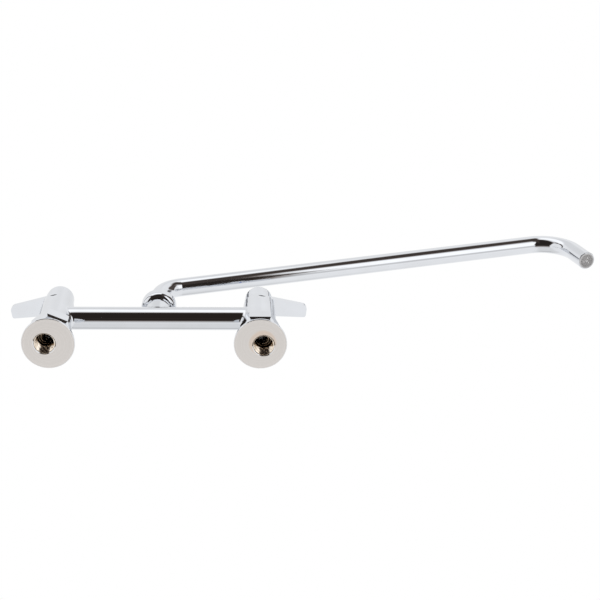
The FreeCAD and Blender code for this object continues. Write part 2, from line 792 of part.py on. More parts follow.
def lever_handle(side):
    """Hub with a flat lever that narrows and thins towards its tip."""
    body = new_body(side.label("lever_handle"))
    front = -side.sign
    sketch = new_sketch(body, "lever_plan", "XY_Plane", "lever_base")
    root_half = "lever_root_width / 2"
    tip_half = "lever_tip_width / 2"
    outline(sketch, [("lever_root", "-" + root_half), ("lever_reach", "-" + tip_half),
                     ("lever_reach", tip_half), ("lever_root", root_half)])
    shape = feature(body, "Pad", "lever", sketch, Length="lever_root_thickness")
    settle(body)
    shape = lever_corner(body, "front_corner", shape, front, "lever_front_corner")
    shape = lever_corner(body, "back_corner", shape, -front, "lever_back_corner")
    top = "lever_base + lever_root_thickness"
    sketch = new_sketch(body, "lever_top_line")
    outline(sketch, [("lever_root", top), ("lever_reach + lever_edge", top),
                     ("lever_reach + lever_edge", "lever_base + lever_tip_rise + lever_tip_thickness")])
    pocket(body, "lever_top", sketch, "4 * lever_root_width", both_ways=True)
    sketch = new_sketch(body, "lever_foot_line")
    outline(sketch, [("lever_root", "lever_base"), ("lever_reach + lever_edge", "lever_base"),
                     ("lever_reach + lever_edge", "lever_base + lever_tip_rise")])
    shape = pocket(body, "lever_foot", sketch, "4 * lever_root_width", both_ways=True)
    shape = dressed(body, "Fillet", "lever_round", shape, top_edges(shape), Radius="lever_edge")
    turned(body, "hub", [
        ("0", "collar_base"),
        ("collar_radius", "collar_base"),
        ("collar_radius", "collar_top"),
        ("hub_radius", "collar_top"),
        ("hub_radius", "hub_top"),
        ("0", "hub_top")])
    shape = body.Tip
    dressed(body, "Fillet", "hub_round", shape, rings_at(shape, "hub_radius", "hub_top"), Radius="hub_edge")
    shape = body.Tip
    dressed(body, "Fillet", "collar_round", shape, rings_at(shape, "collar_radius", "collar_top"),
            Radius="collar_edge")
    skirt = "collar_radius - skirt_wall"
    screw_hole = "screw_radius + seat_gap"
    bored(body, "recess", [
        ("0", "collar_base"),
        (skirt, "collar_base"),
        (skirt, "socket_base"),
        (screw_hole, "socket_base"),
        (screw_hole, "pocket_floor"),
        ("button_pocket_radius", "pocket_floor"),
        ("button_pocket_radius", "hub_top"),
        ("0", "hub_top")])
    sketch = new_sketch(body, "socket_outline", "XY_Plane", "socket_base")
    half = "(stem_square / 2 + socket_gap)"
    outline(sketch, [("-" + half, "-" + half), (half, "-" + half), (half, half), ("-" + half, half)])
    pocket(body, "socket", sketch, "stem_square_length + socket_gap", along_normal=True)
    side.stand(body, side.lever_turn)


def lever_corner(body, name, shaped, way, radius):
    """Round the upright edge at one side of the lever's tip."""
    names = []
    for number, edge in enumerate(shaped.Shape.Edges, 1):
        middle = edge.BoundBox.Center
        upright = edge.BoundBox.ZLength > NEAR
        if upright and middle.x > value("lever_reach") - NEAR and middle.y * way > 0:
            names.append("Edge%d" % number)
    return dressed(body, "Fillet", name, shaped, names, Radius=radius)


def top_edges(shaped):
    """Edges round the lever's top, apart from those at its root."""
    middle = value("lever_base + lever_root_thickness / 2")
    names = []
    for number, edge in enumerate(shaped.Shape.Edges, 1):
        box = edge.BoundBox
        upright = box.XLength < NEAR and box.YLength < NEAR
        beyond_root = box.Center.x > value("lever_root") + NEAR
        if not upright and beyond_root and box.Center.z > middle:
            names.append("Edge%d" % number)
    return names


def handle_screw(side):
    """Pan head screw with a cross recess that holds the handle on the stem."""
    body = new_body(side.label("handle_screw"))
    turned(body, "screw", [
        ("0", "pocket_floor - screw_length + seat_gap"),
        ("screw_radius", "pocket_floor - screw_length + seat_gap"),
        ("screw_radius", "pocket_floor"),
        ("screw_head_radius", "pocket_floor"),
        ("screw_head_radius", "pocket_floor + screw_head_height"),
        ("0", "pocket_floor + screw_head_height")])
    sketch = new_sketch(body, "cross", "XY_Plane", "pocket_floor + screw_head_height")
    long_half = "screw_recess_span / 2"
    thin_half = "screw_recess_width / 2"
    quarter = [(long_half, thin_half), (thin_half, thin_half), (thin_half, long_half)]
    points = []
    for turn in range(4):
        for x, y in quarter:
            signed = {0: (x, y), 1: ("-" + y, x), 2: ("-" + x, "-" + y), 3: (y, "-" + x)}
            points.append(signed[turn])
    outline(sketch, points)
    pocket(body, "recess", sketch, "screw_recess_depth")
    side.stand(body, side.lever_turn)


def index_button(side):
    """Plain plated cap with a rim that stands on the floor of the handle's pocket."""
    body = new_body(side.label("index_button"))
    outer = "button_pocket_radius - seat_gap"
    inner = "button_pocket_radius - seat_gap - button_rim"
    shape = turned(body, "cap", [
        ("0", "button_under"),
        (inner, "button_under"),
        (inner, "pocket_floor"),
        (outer, "pocket_floor"),
        (outer, "button_top"),
        ("0", "button_top")])
    dressed(body, "Fillet", "crown", shape, rings_at(shape, outer, "button_top"), Radius="button_edge")
    side.stand(body)


def valve_column(side):
    """All pieces of one column, from the deck up."""
    inlet_flange(side)
    retaining_ring(side)
    coupling_nut(side)
    washer = ring(side.label("inlet_washer"), "washer_bore", "inlet_thread_radius - seat_gap",
                  "washer_thickness")
    side.stand(washer, z="washer_base")
    valve_body(side)
    seal = ring(side.label("seat_seal"), "disc_radius - seal_width", "disc_radius", "seal_height")
    side.stand(seal, z="seat_height")
    ceramic_disc(side, "fixed_disc", "fixed_base", "90", False)
    ceramic_disc(side, "moving_disc", "moving_base", side.lever_turn, True)
    cartridge_housing(side)
    groove_middle = "cartridge_bore - housing_ring_section - ring_play"
    seal = round_ring(side.label("housing_o_ring"), groove_middle, "housing_ring_section")
    side.stand(seal, z="housing_ring_height")
    stem(side)
    groove_middle = "stem_radius - stem_ring_section + ring_play"
    seal = round_ring(side.label("stem_o_ring"), groove_middle, "stem_ring_section")
    side.stand(seal, z="stem_ring_height")
    stem_clip(side)
    bonnet(side)
    lever_handle(side)
    handle_screw(side)
    index_button(side)


def bridge_tube():
    """Cross tube with an opening under the spout socket."""
    label = "bridge_tube"
    solids = {}
    for word, radius in (("outside", "bridge_radius"), ("inside", "bridge_bore")):
        solid = document.addObject("Part::Cylinder", "%s_%s" % (label, word))
        bind(solid, Radius=radius, Height="2 * bridge_half")
        spot = "vector(%s; 0; %s)" % (bound("-bridge_half"), bound("bridge_height"))
        solid.setExpression("Placement", "placement(%s; rotation(vector(0; 1; 0); 90))" % spot)
        solids[word] = solid
    opening = document.addObject("Part::Cylinder", label + "_opening")
    bind(opening, Radius="boss_waterway", Height="2 * bridge_radius")
    place(opening, z="bridge_height")
    tube = cut(label + "_tube", solids["outside"], solids["inside"])
    piece(cut(label + "_opened", tube, opening), label)


def spout_boss():
    """Socket brazed on the bridge: a tapered saddle, a bore for the spout's sleeve and an outside thread."""
    body = new_body("spout_boss")
    foot = "bridge_height + boss_foot"
    turned(body, "barrel", [
        ("0", foot),
        ("bridge_radius + boss_foot_step", foot),
        ("boss_radius", foot + " + boss_taper"),
        ("boss_radius", "boss_top"),
        ("0", "boss_top")])
    bored(body, "bore", [
        ("0", foot),
        ("boss_waterway", foot),
        ("boss_waterway", "boss_floor"),
        ("sleeve_bore", "boss_floor"),
        ("sleeve_bore", "boss_top"),
        ("0", "boss_top")])
    sketch = new_sketch(body, "saddle_circle", "YZ_Plane")
    circle(sketch, "bridge_radius + seat_gap", along="bridge_height")
    pocket(body, "saddle", sketch, "4 * boss_radius", both_ways=True)


def swivel_nut():
    """Round nut with a tapered, rounded underside whose web holds the spout's sleeve down."""
    body = new_body("swivel_nut")
    thread = "boss_radius + thread_gap"
    hole = "spout_radius + swivel_hole_gap"
    shape = turned(body, "cap", [
        (thread, "swivel_base"),
        ("swivel_radius", "swivel_base + swivel_foot_rise"),
        ("swivel_radius", "swivel_top"),
        (hole, "swivel_top"),
        (hole, "web_base"),
        (thread, "web_base")])
    lower_ring = rings_at(shape, "swivel_radius", "swivel_base + swivel_foot_rise")
    shape = dressed(body, "Fillet", "lower_edge", shape, lower_ring, Radius="swivel_lower_edge")
    dressed(body, "Fillet", "upper_edge", shape, rings_at(shape, "swivel_radius", "swivel_top"),
            Radius="swivel_upper_edge")


def spout_sleeve():
    """Brass bearing sleeve on the foot of the spout, with two seal grooves and a flange."""
    body = new_body("spout_sleeve")
    groove_radius = "sleeve_bore - 2 * spout_ring_section - 2 * ring_play"
    groove_half = "(spout_ring_section + ring_play)"
    inside = "spout_radius + seat_gap"
    points = [(inside, "sleeve_foot"), ("sleeve_radius", "sleeve_foot")]
    for height in ("spout_ring_lower", "spout_ring_upper"):
        points.append(("sleeve_radius", "%s - %s" % (height, groove_half)))
        points.append((groove_radius, "%s - %s" % (height, groove_half)))
        points.append((groove_radius, "%s + %s" % (height, groove_half)))
        points.append(("sleeve_radius", "%s + %s" % (height, groove_half)))
    points.append(("sleeve_radius", "sleeve_flange_base"))
    points.append(("sleeve_flange_radius", "sleeve_flange_base"))
    points.append(("sleeve_flange_radius", "sleeve_top"))
    points.append((inside, "sleeve_top"))
    turned(body, "sleeve", points)


def swivel_rings():
    """Seals and slip rings of the spout's swivel."""
    middle = "sleeve_bore - spout_ring_section - ring_play"
    for word in ("lower", "upper"):
        seal = round_ring("spout_o_ring_" + word, middle, "spout_ring_section")
        place(seal, z="spout_ring_" + word)
    washer = ring("thrust_washer", "sleeve_bore + seat_gap", "boss_radius - seat_gap", "thrust_thickness")
    place(washer, z="boss_top")
    slip = ring("slip_ring", "spout_radius + swivel_hole_gap", "boss_radius - seat_gap", "slip_thickness")
    place(slip, z="slip_base")


# Turn of the spout about its swing axis at rest
SPOUT_TURN = "placement(vector(0; 0; 0); rotation(vector(0; 0; 1); -Sizes.spout_swing))"


def along_rise(distance):
    """Point of the straight run at a distance from the knee's corner."""
    return "%s * cos(spout_rise)" % distance, "spout_knee_height + %s * sin(spout_rise)" % distance


def from_corner(along, down):
    """Point near the outer corner, shifted along the straight run and down the outlet leg."""
    x = "%s + (%s) * cos(spout_rise) + (%s) * sin(spout_rise)" % ("corner_x", along, down)
    z = "%s + (%s) * sin(spout_rise) - (%s) * cos(spout_rise)" % ("corner_z", along, down)
    return x, z


def spout_path(sketch):
    """Straight runs joined by two tangent arcs, from the foot of the sleeve to the outlet."""
    knee_start = ("0", "spout_knee_height - knee_trim")
    knee_end = along_rise("knee_trim")
    end_start = from_corner("-spout_end_bend", "0")
    end_stop = from_corner("0", "spout_end_bend")
    outlet = from_corner("0", "tube_end")
    runs = [(("0", "sleeve_foot"), knee_start), (knee_end, end_start), (end_stop, outlet)]
    for start, stop in runs:
        ends = [FreeCAD.Vector(value(x), value(z), 0) for x, z in (start, stop)]
        number = sketch.addGeometry(Part.LineSegment(ends[0], ends[1]))
        hold_point(sketch, number, 1, *start)
        hold_point(sketch, number, 2, *stop)
    centres = [("spout_knee_bend", knee_start[1]), from_corner("-spout_end_bend", "spout_end_bend")]
    for before, (centre, radius) in enumerate(zip(centres, ("spout_knee_bend", "spout_end_bend"))):
        middle = FreeCAD.Vector(value(centre[0]), value(centre[1]), 0)
        round_line = Part.Circle(middle, FreeCAD.Vector(0, 0, 1), value(radius))
        turn = value("90 - spout_rise") if before == 0 else 90.0
        stop = 180.0 if before == 0 else value("90 + spout_rise")
        arc = Part.ArcOfCircle(round_line, math.radians(stop - turn), math.radians(stop))
        number = sketch.addGeometry(arc)
        sketch.addConstraint(Sketcher.Constraint("Coincident", number, 2, before, 2))
        sketch.addConstraint(Sketcher.Constraint("Coincident", number, 1, before + 1, 1))
        rule = sketch.addConstraint(Sketcher.Constraint("Radius", number, value(radius)))
        sketch.setExpression("Constraints[%d]" % rule, bound(radius))


def spout_tube():
    """Drawn tube: upright foot, knee, long rising run and a turned-down outlet leg."""
    body = new_body("spout_tube")
    path = new_sketch(body, "path")
    spout_path(path)
    section = new_sketch(body, "section", "XY_Plane", "sleeve_foot")
    circle(section, "spout_radius")
    circle(section, "spout_bore")
    document.recompute()
    made = feature(body, "AdditivePipe", "tube", section)
    made.Spine = (path, ["Edge%d" % number for number in range(1, len(path.Shape.Edges) + 1)])
    settle(body)
    outlet_height = from_corner("0", "tube_end")[1]
    dressed(body, "Fillet", "rim", made, rings_at(made, "spout_radius", outlet_height), Radius="spout_rim")
    body.setExpression("Placement", SPOUT_TURN)


def at_outlet(target, lift="0"):
    """Put a piece whose Z axis runs up the outlet leg, with its zero lifted from the end of the tube."""
    x, z = from_corner("0", "%s - %s" % ("tube_end", lift))
    spot = "vector(%s; 0; %s)" % (bound(x), bound(z))
    tilt = "rotation(vector(0; 1; 0); -Sizes.spout_rise)"
    target.setExpression("Placement", "%s * placement(%s; %s)" % (SPOUT_TURN, spot, tilt))


def outlet_insert():
    """Dark insert in the end of the spout: a flanged cup, a holed flow screen and a gasket behind."""
    cup = new_body("outlet_housing")
    flange = "spout_radius - outlet_flange_inset"
    ledge = "screen_recess + screen_thickness - outlet_flange"
    ledge_radius = "outlet_inside - outlet_wall"
    shape = turned(cup, "cup", [
        ("outlet_inside", "-outlet_flange"),
        (flange, "-outlet_flange"),
        (flange, "0"),
        ("outlet_radius", "0"),
        ("outlet_radius", "outlet_length"),
        (ledge_radius, "outlet_length"),
        (ledge_radius, ledge),
        ("outlet_inside", ledge)])
    dressed(cup, "Fillet", "lip", shape, rings_at(shape, flange, "-outlet_flange"), Radius="outlet_edge")
    at_outlet(cup)
    screen = new_body("flow_screen")
    base = "screen_recess - outlet_flange"
    sketch = new_sketch(screen, "blank_circle", "XY_Plane", base)
    circle(sketch, "screen_radius")
    feature(screen, "Pad", "blank", sketch, Length="screen_thickness")
    sketch = new_sketch(screen, "holes", "XY_Plane", base)
    circle(sketch, "screen_hole")
    for number in (1, 2, 3):
        count = 6 * number
        for step in range(count):
            turn = 360.0 * step / count
            circle(sketch, "screen_hole", "%d * screen_ring_step * cos(%r)" % (number, turn),
                   "%d * screen_ring_step * sin(%r)" % (number, turn))
    pocket(screen, "perforation", sketch, "screen_thickness", along_normal=True)
    at_outlet(screen)
    gasket = ring("outlet_gasket", "outlet_radius - gasket_width", "outlet_radius", "gasket_thickness")
    at_outlet(gasket, "outlet_length")


def check_document():
    """Stop before anything is written if an object failed or a sub-part is not one sound solid."""
    document.recompute()
    for item in document.Objects:
        if "Invalid" in item.State or "Error" in item.State:
            raise RuntimeError("%s is %s" % (item.Label, item.State))
    for item in pieces:
        shape = item.Shape
        if shape.isNull() or not shape.isValid() or len(shape.Solids) != 1:
            raise RuntimeError("%s has no sound solid" % item.Label)


for column in (Side("left", -1), Side("right", 1)):
    valve_column(column)
bridge_tube()
spout_boss()
swivel_nut()
spout_sleeve()
swivel_rings()
spout_tube()
outlet_insert()
check_document()

os.makedirs("parts", exist_ok=True)
for item in pieces:
    item.Shape.exportStep("parts/%s.step" % item.Label)
    print("%-24s %10.1f mm3" % (item.Label, item.Shape.Volume))
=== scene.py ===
"""Looks of a deck mount faucet with two lever handles and a swing spout.

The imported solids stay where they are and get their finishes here. Shapes that the solids leave plain, such as
the inlet threads, the brazed seams of the spout socket and the nubs of the outlet screen, are added as numpy
grids. All lengths are in metres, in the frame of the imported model.
"""
import json
import logging
import math
from dataclasses import dataclass
from enum import Enum
from typing import ClassVar

import bpy
import numpy as np
from mathutils import Matrix, Vector


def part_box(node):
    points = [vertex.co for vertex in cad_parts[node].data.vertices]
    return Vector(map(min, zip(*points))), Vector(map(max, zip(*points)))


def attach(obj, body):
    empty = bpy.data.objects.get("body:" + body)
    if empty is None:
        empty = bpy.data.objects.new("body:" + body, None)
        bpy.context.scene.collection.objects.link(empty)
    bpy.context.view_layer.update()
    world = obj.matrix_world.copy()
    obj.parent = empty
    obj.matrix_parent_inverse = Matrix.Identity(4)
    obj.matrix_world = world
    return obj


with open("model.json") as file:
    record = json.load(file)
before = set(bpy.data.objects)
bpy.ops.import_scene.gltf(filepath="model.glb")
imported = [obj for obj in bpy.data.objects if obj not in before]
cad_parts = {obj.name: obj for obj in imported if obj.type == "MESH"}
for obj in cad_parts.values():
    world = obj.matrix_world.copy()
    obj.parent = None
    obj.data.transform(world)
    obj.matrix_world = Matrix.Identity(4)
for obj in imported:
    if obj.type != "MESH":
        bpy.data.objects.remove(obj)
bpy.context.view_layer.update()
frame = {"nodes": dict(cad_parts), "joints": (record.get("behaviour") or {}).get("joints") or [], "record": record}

LOG = logging.getLogger("faucet")

Colour = tuple[float, float, float]
Triple = tuple[float, float, float]
Span = tuple[float, float]
Socket = bpy.types.NodeSocket

WHITE: Colour = (1.0, 1.0, 1.0)
# Most values of a noise lie in this span.
NOISE_SPAN: Span = (0.3, 0.7)
# A share that grows or shrinks over a span.
RISE: Span = (0.0, 1.0)
FALL: Span = (1.0, 0.0)
# A Mix node has a set of sockets for each kind of value.
NUMBER_INPUTS = slice(2, 4)
COLOUR_INPUTS = slice(6, 8)
COLOUR_OUTPUT = 2


class Side(Enum):
    """The two valve columns. The value is the sign of the column's place on X."""

    LEFT = -1
    RIGHT = 1

    @property
    def word(self) -> str:
        """Return the side's name as nodes and bodies write it."""
        return self.name.lower()


class Slot(Enum):
    """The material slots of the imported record."""

    CHROME = "chrome_plate"
    FLANGE = "flange_plate"
    BRASS = "bare_brass"
    SPRING = "spring_steel"
    SCREW = "screw_steel"
    RUBBER = "seal_rubber"
    CERAMIC = "disc_ceramic"
    SLIP = "slip_plastic"
    HOT = "hot_button"
    COLD = "cold_button"
    OUTLET = "outlet_plastic"
    SCREEN = "outlet_screen"


def joint_place(name: str) -> np.ndarray:
    """Look up the point that a joint turns about.

    Args:
        name: Name of the joint in the record.

    Returns:
        The point, in metres.
    """
    row = next(joint for joint in frame["joints"] if joint["name"] == name)
    return np.array(row["pos_m"], dtype=float)


def mount_row(name: str) -> dict:
    """Look up a mount of the record.

    Args:
        name: Name of the mount.

    Returns:
        The mount's row, with its place, axis and dimensions.
    """
    return next(mount for mount in frame["record"]["mounts"] if mount["name"] == name)


def grid_quads(rows: int, columns: int, close_rows: bool, close_columns: bool) -> np.ndarray:
    """Number the quads of a grid of points that is stored row by row.

    Each quad joins a point, its neighbour in the next row, the point after that and its neighbour in the same
    row.

    Args:
        rows: Number of rows of points.
        columns: Number of points in a row.
        close_rows: Whether the last row joins the first.
        close_columns: Whether the last point of a row joins the first.

    Returns:
        An array of four point numbers per quad.
    """
    row, column = np.meshgrid(
        np.arange(rows if close_rows else rows - 1),
        np.arange(columns if close_columns else columns - 1),
        indexing="ij",
    )
    next_row = (row + 1) % rows
    next_column = (column + 1) % columns
    corners = (
        row * columns + column,
        next_row * columns + column,
        next_row * columns + next_column,
        row * columns + next_column,
    )
    return np.stack(corners, axis=-1).reshape(-1, 4)


def mesh_object(name: str, points: np.ndarray, faces: list[list[int]]) -> bpy.types.Object:
    """Put points and faces into a smooth mesh object at the origin.

    Args:
        name: Name of the object and its mesh.
        points: Array of points, three numbers each.
        faces: Point numbers of each face.

    Returns:
        The new object, linked to the scene.
    """
    mesh = bpy.data.meshes.new(name)
    mesh.from_pydata(points.reshape(-1, 3).tolist(), [], faces)
    mesh.polygons.foreach_set("use_smooth", np.ones(len(faces), dtype=bool))
    mesh.update()
    piece = bpy.data.objects.new(name, mesh)
    bpy.context.scene.collection.objects.link(piece)
    return piece


def outward(points: np.ndarray, quads: np.ndarray) -> np.ndarray:
    """Turn the quads of a closed shell so that they face outwards.

    The volume of a closed shell is a sixth of the sum of a . (b x c) over its triangles. It is negative where
    the faces point inwards, and then each quad is read backwards.

    Args:
        points: Array of points, three numbers each.
        quads: Array of four point numbers per quad.

    Returns:
        The quads, in the order that faces outwards.
    """
    flat = points.reshape(-1, 3) - points.reshape(-1, 3).mean(axis=0)
    a, b, c, d = (flat[quads[:, corner]] for corner in range(4))
    volume = np.einsum("ij,ij->i", a, np.cross(b, c)).sum() + np.einsum("ij,ij->i", a, np.cross(c, d)).sum()
    return quads if volume > 0.0 else quads[:, ::-1]


def turned_shell(radius: np.ndarray, height: np.ndarray, turns: int) -> tuple[np.ndarray, list[list[int]]]:
    """Turn a profile that starts and ends on the axis into a closed shell.

    A ring of the shell holds the points (r cos a, r sin a, h) for evenly spaced angles a. The two ends of the
    profile are single points on the axis, joined to the nearest rings by triangles.

    Args:
        radius: Radii of the profile from the lower end to the upper one, 0 at both.
        height: Heights of the profile.
        turns: Number of points in a ring.

    Returns:
        The points, three numbers each, and the point numbers of each face, facing outwards.
    """
    angle = np.linspace(0.0, 2.0 * math.pi, turns, endpoint=False)[None, :]
    r, h = radius[1:-1, None], height[1:-1, None]
    rings = np.stack((r * np.cos(angle), r * np.sin(angle), h + np.zeros_like(angle)), axis=-1).reshape(-1, 3)
    ends = np.array(((0.0, 0.0, height[0]), (0.0, 0.0, height[-1])))
    points = np.concatenate((ends, rings))
    here = np.arange(turns)
    after = (here + 1) % turns
    upper = 2 + (len(radius) - 3) * turns
    low_fan = np.stack((np.zeros_like(here), 2 + after, 2 + here), axis=-1)
    high_fan = np.stack((np.ones_like(here), upper + here, upper + after), axis=-1)
    quads = 2 + grid_quads(len(radius) - 2, turns, False, True)[:, ::-1]
    return points, low_fan.tolist() + quads.tolist() + high_fan.tolist()


def smooth_step(value: np.ndarray) -> np.ndarray:
    """Return 3 t^2 - 2 t^3 for t clipped to 0 to 1, a soft rise from 0 to 1."""
    clipped = np.clip(value, 0.0, 1.0)
    return clipped * clipped * (3.0 - 2.0 * clipped)


class Graph:
    """Node tree of one material, with short calls for the nodes that the finishes share."""

    def __init__(self, name: str) -> None:
        """Start a material that holds a Principled shader.

        Args:
            name: Name of the material.
        """
        self.material = bpy.data.materials.new(name)
        self.material.use_nodes = True
        self.tree = self.material.node_tree
        self.tree.nodes.clear()
        self.shader = self.node("ShaderNodeBsdfPrincipled")
        self.output = self.node("ShaderNodeOutputMaterial")
        self.link(self.shader.outputs["BSDF"], self.output.inputs["Surface"])
        self.place = self.node("ShaderNodeTexCoord").outputs["Object"]

    def node(self, kind: str) -> bpy.types.Node:
        """Return a new node of a kind."""
        return self.tree.nodes.new(kind)

    def link(self, source: Socket, target: Socket) -> None:
        """Join two sockets."""
        self.tree.links.new(source, target)

    def feed(self, target: Socket, value: "Socket | float | Triple") -> None:
        """Link a socket to a target, or set a plain value on it.

        Args:
            target: Input socket.
            value: Output socket, number or triple.
        """
        if isinstance(value, bpy.types.NodeSocket):
            self.link(value, target)
        else:
            target.default_value = value

    def maths(self, operation: str, first: "Socket | float", second: "Socket | float" = 0.0) -> Socket:
        """Work out one step of arithmetic.

        Args:
            operation: Name of the Math node's operation.
            first: First value.
            second: Second value.

        Returns:
            The result.
        """
        step = self.node("ShaderNodeMath")
        step.operation = operation
        self.feed(step.inputs[0], first)
        self.feed(step.inputs[1], second)
        return step.outputs[0]

    def mapped(self, shift: Triple = (0.0, 0.0, 0.0), scale: Triple = (1.0, 1.0, 1.0)) -> Socket:
        """Move and stretch the Object coordinates.

        Args:
            shift: Point that becomes the centre of the pattern.
            scale: Stretch along each axis.

        Returns:
            The new coordinates.
        """
        mapping = self.node("ShaderNodeMapping")
        mapping.vector_type = "POINT"
        mapping.inputs["Location"].default_value = tuple(-s * k for s, k in zip(shift, scale))
        mapping.inputs["Scale"].default_value = scale
        self.link(self.place, mapping.inputs["Vector"])
        return mapping.outputs["Vector"]

    def noise(self, scale: float, detail: float = 3.0, place: "Socket | None" = None) -> Socket:
        """Make soft random variation, about 0 to 1.

        Args:
            scale: Number of blotches per metre.
            detail: Octaves of finer variation.
            place: Coordinates, or none for the plain Object ones.

        Returns:
            The variation.
        """
        texture = self.node("ShaderNodeTexNoise")
        texture.inputs["Scale"].default_value = scale
        texture.inputs["Detail"].default_value = detail
        self.link(place or self.place, texture.inputs["Vector"])
        return texture.outputs["Fac"]

    def rings(self, radius: Socket, pitch: float, detail: float = 3.0) -> Socket:
        """Make random variation that runs in rings, about 0 to 1.

        Args:
            radius: Distance from the rings' axis.
            pitch: Usual width of a ring, in metres.
            detail: Octaves of finer variation.

        Returns:
            The variation.
        """
        texture = self.node("ShaderNodeTexNoise")
        texture.noise_dimensions = "1D"
        texture.inputs["Scale"].default_value = 1.0 / pitch
        texture.inputs["Detail"].default_value = detail
        self.link(radius, texture.inputs["W"])
        return texture.outputs["Fac"]

    def distance(self, centre: Triple) -> Socket:
        """Measure the distance from an upright axis.

        Args:
            centre: Point on the axis.

        Returns:
            The distance, in metres.
        """
        length = self.node("ShaderNodeVectorMath")
        length.operation = "LENGTH"
        self.link(self.mapped(centre, (1.0, 1.0, 0.0)), length.inputs[0])
        return length.outputs["Value"]

    def span(self, value: Socket, old: Span, new: Span) -> Socket:
        """Map a value from one span to another, and hold it at the ends.

        Args:
            value: Value to map.
            old: Span that the value has.
            new: Span that it gets.

        Returns:
            The mapped value.
        """
        step = self.node("ShaderNodeMapRange")
        for socket, number in zip(step.inputs[1:5], (*old, *new)):
            socket.default_value = number
        self.link(value, step.inputs[0])
        return step.outputs[0]

    def blend(self, share: Socket, low: "Socket | Colour", high: "Socket | Colour") -> Socket:
        """Mix two colours.

        Args:
            share: Share of the second colour.
            low: Colour where the share is 0.
            high: Colour where the share is 1.

        Returns:
            The mixed colour.
        """
        mix = self.node("ShaderNodeMix")
        mix.data_type = "RGBA"
        self.link(share, mix.inputs[0])
        for socket, colour in zip(mix.inputs[COLOUR_INPUTS], (low, high)):
            self.feed(socket, colour if isinstance(colour, bpy.types.NodeSocket) else (*colour, 1.0))
        return mix.outputs[COLOUR_OUTPUT]

    def mix_values(self, share: Socket, low: "Socket | float", high: "Socket | float") -> Socket:
        """Mix two numbers.

        Args:
            share: Share of the second number.
            low: Number where the share is 0.
            high: Number where the share is 1.

        Returns:
            The mixed number.
        """
        mix = self.node("ShaderNodeMix")
        self.link(share, mix.inputs[0])
        for socket, number in zip(mix.inputs[NUMBER_INPUTS], (low, high)):
            self.feed(socket, number)
        return mix.outputs[0]

    def bump(self, height: Socket, depth: float) -> None:
        """Give the shader a relief.

        Args:
            height: Height of the relief, 0 to 1.
            depth: Real height, in metres.
        """
        relief = self.node("ShaderNodeBump")
        relief.inputs["Strength"].default_value = 1.0
        relief.inputs["Distance"].default_value = depth
        self.link(height, relief.inputs["Height"])
        self.link(relief.outputs["Normal"], self.shader.inputs["Normal"])

    def set(self, name: str, value: "Socket | float | Colour") -> None:
        """Set or link an input of the shader.

        Args:
            name: Name of the input.
            value: Socket, number or colour.
        """
        plain = isinstance(value, tuple)
        self.feed(self.shader.inputs[name], (*value, 1.0) if plain else value)


@dataclass(frozen=True)
class MirrorPlate:
    """Bright plate: a mirror with faint haze and the long soft waves that polishing leaves."""

    clear: Colour = (0.752, 0.772, 0.808)
    hazy: Colour = (0.722, 0.738, 0.768)
    roughness: Span = (0.025, 0.06)
    haze_scale: float = 45.0
    haze_detail: float = 4.0
    wave_scale: float = 70.0
    wave_detail: float = 1.0
    wave_depth: float = 0.000012

    def paint(self, graph: Graph) -> tuple[Socket, Socket]:
        """Work out the plate's colour and roughness.

        Args:
            graph: Node tree that gets the nodes.

        Returns:
            The colour and the roughness.
        """
        haze = graph.noise(self.haze_scale, self.haze_detail)
        colour = graph.blend(graph.span(haze, NOISE_SPAN, RISE), self.clear, self.hazy)
        return colour, graph.span(haze, NOISE_SPAN, self.roughness)

    def material(self, name: str) -> bpy.types.Material:
        """Make the plate's material.

        Args:
            name: Name of the material.

        Returns:
            The material.
        """
        graph = Graph(name)
        colour, roughness = self.paint(graph)
        graph.set("Base Color", colour)
        graph.set("Roughness", roughness)
        graph.set("Metallic", 1.0)
        graph.bump(graph.noise(self.wave_scale, self.wave_detail), self.wave_depth)
        return graph.material


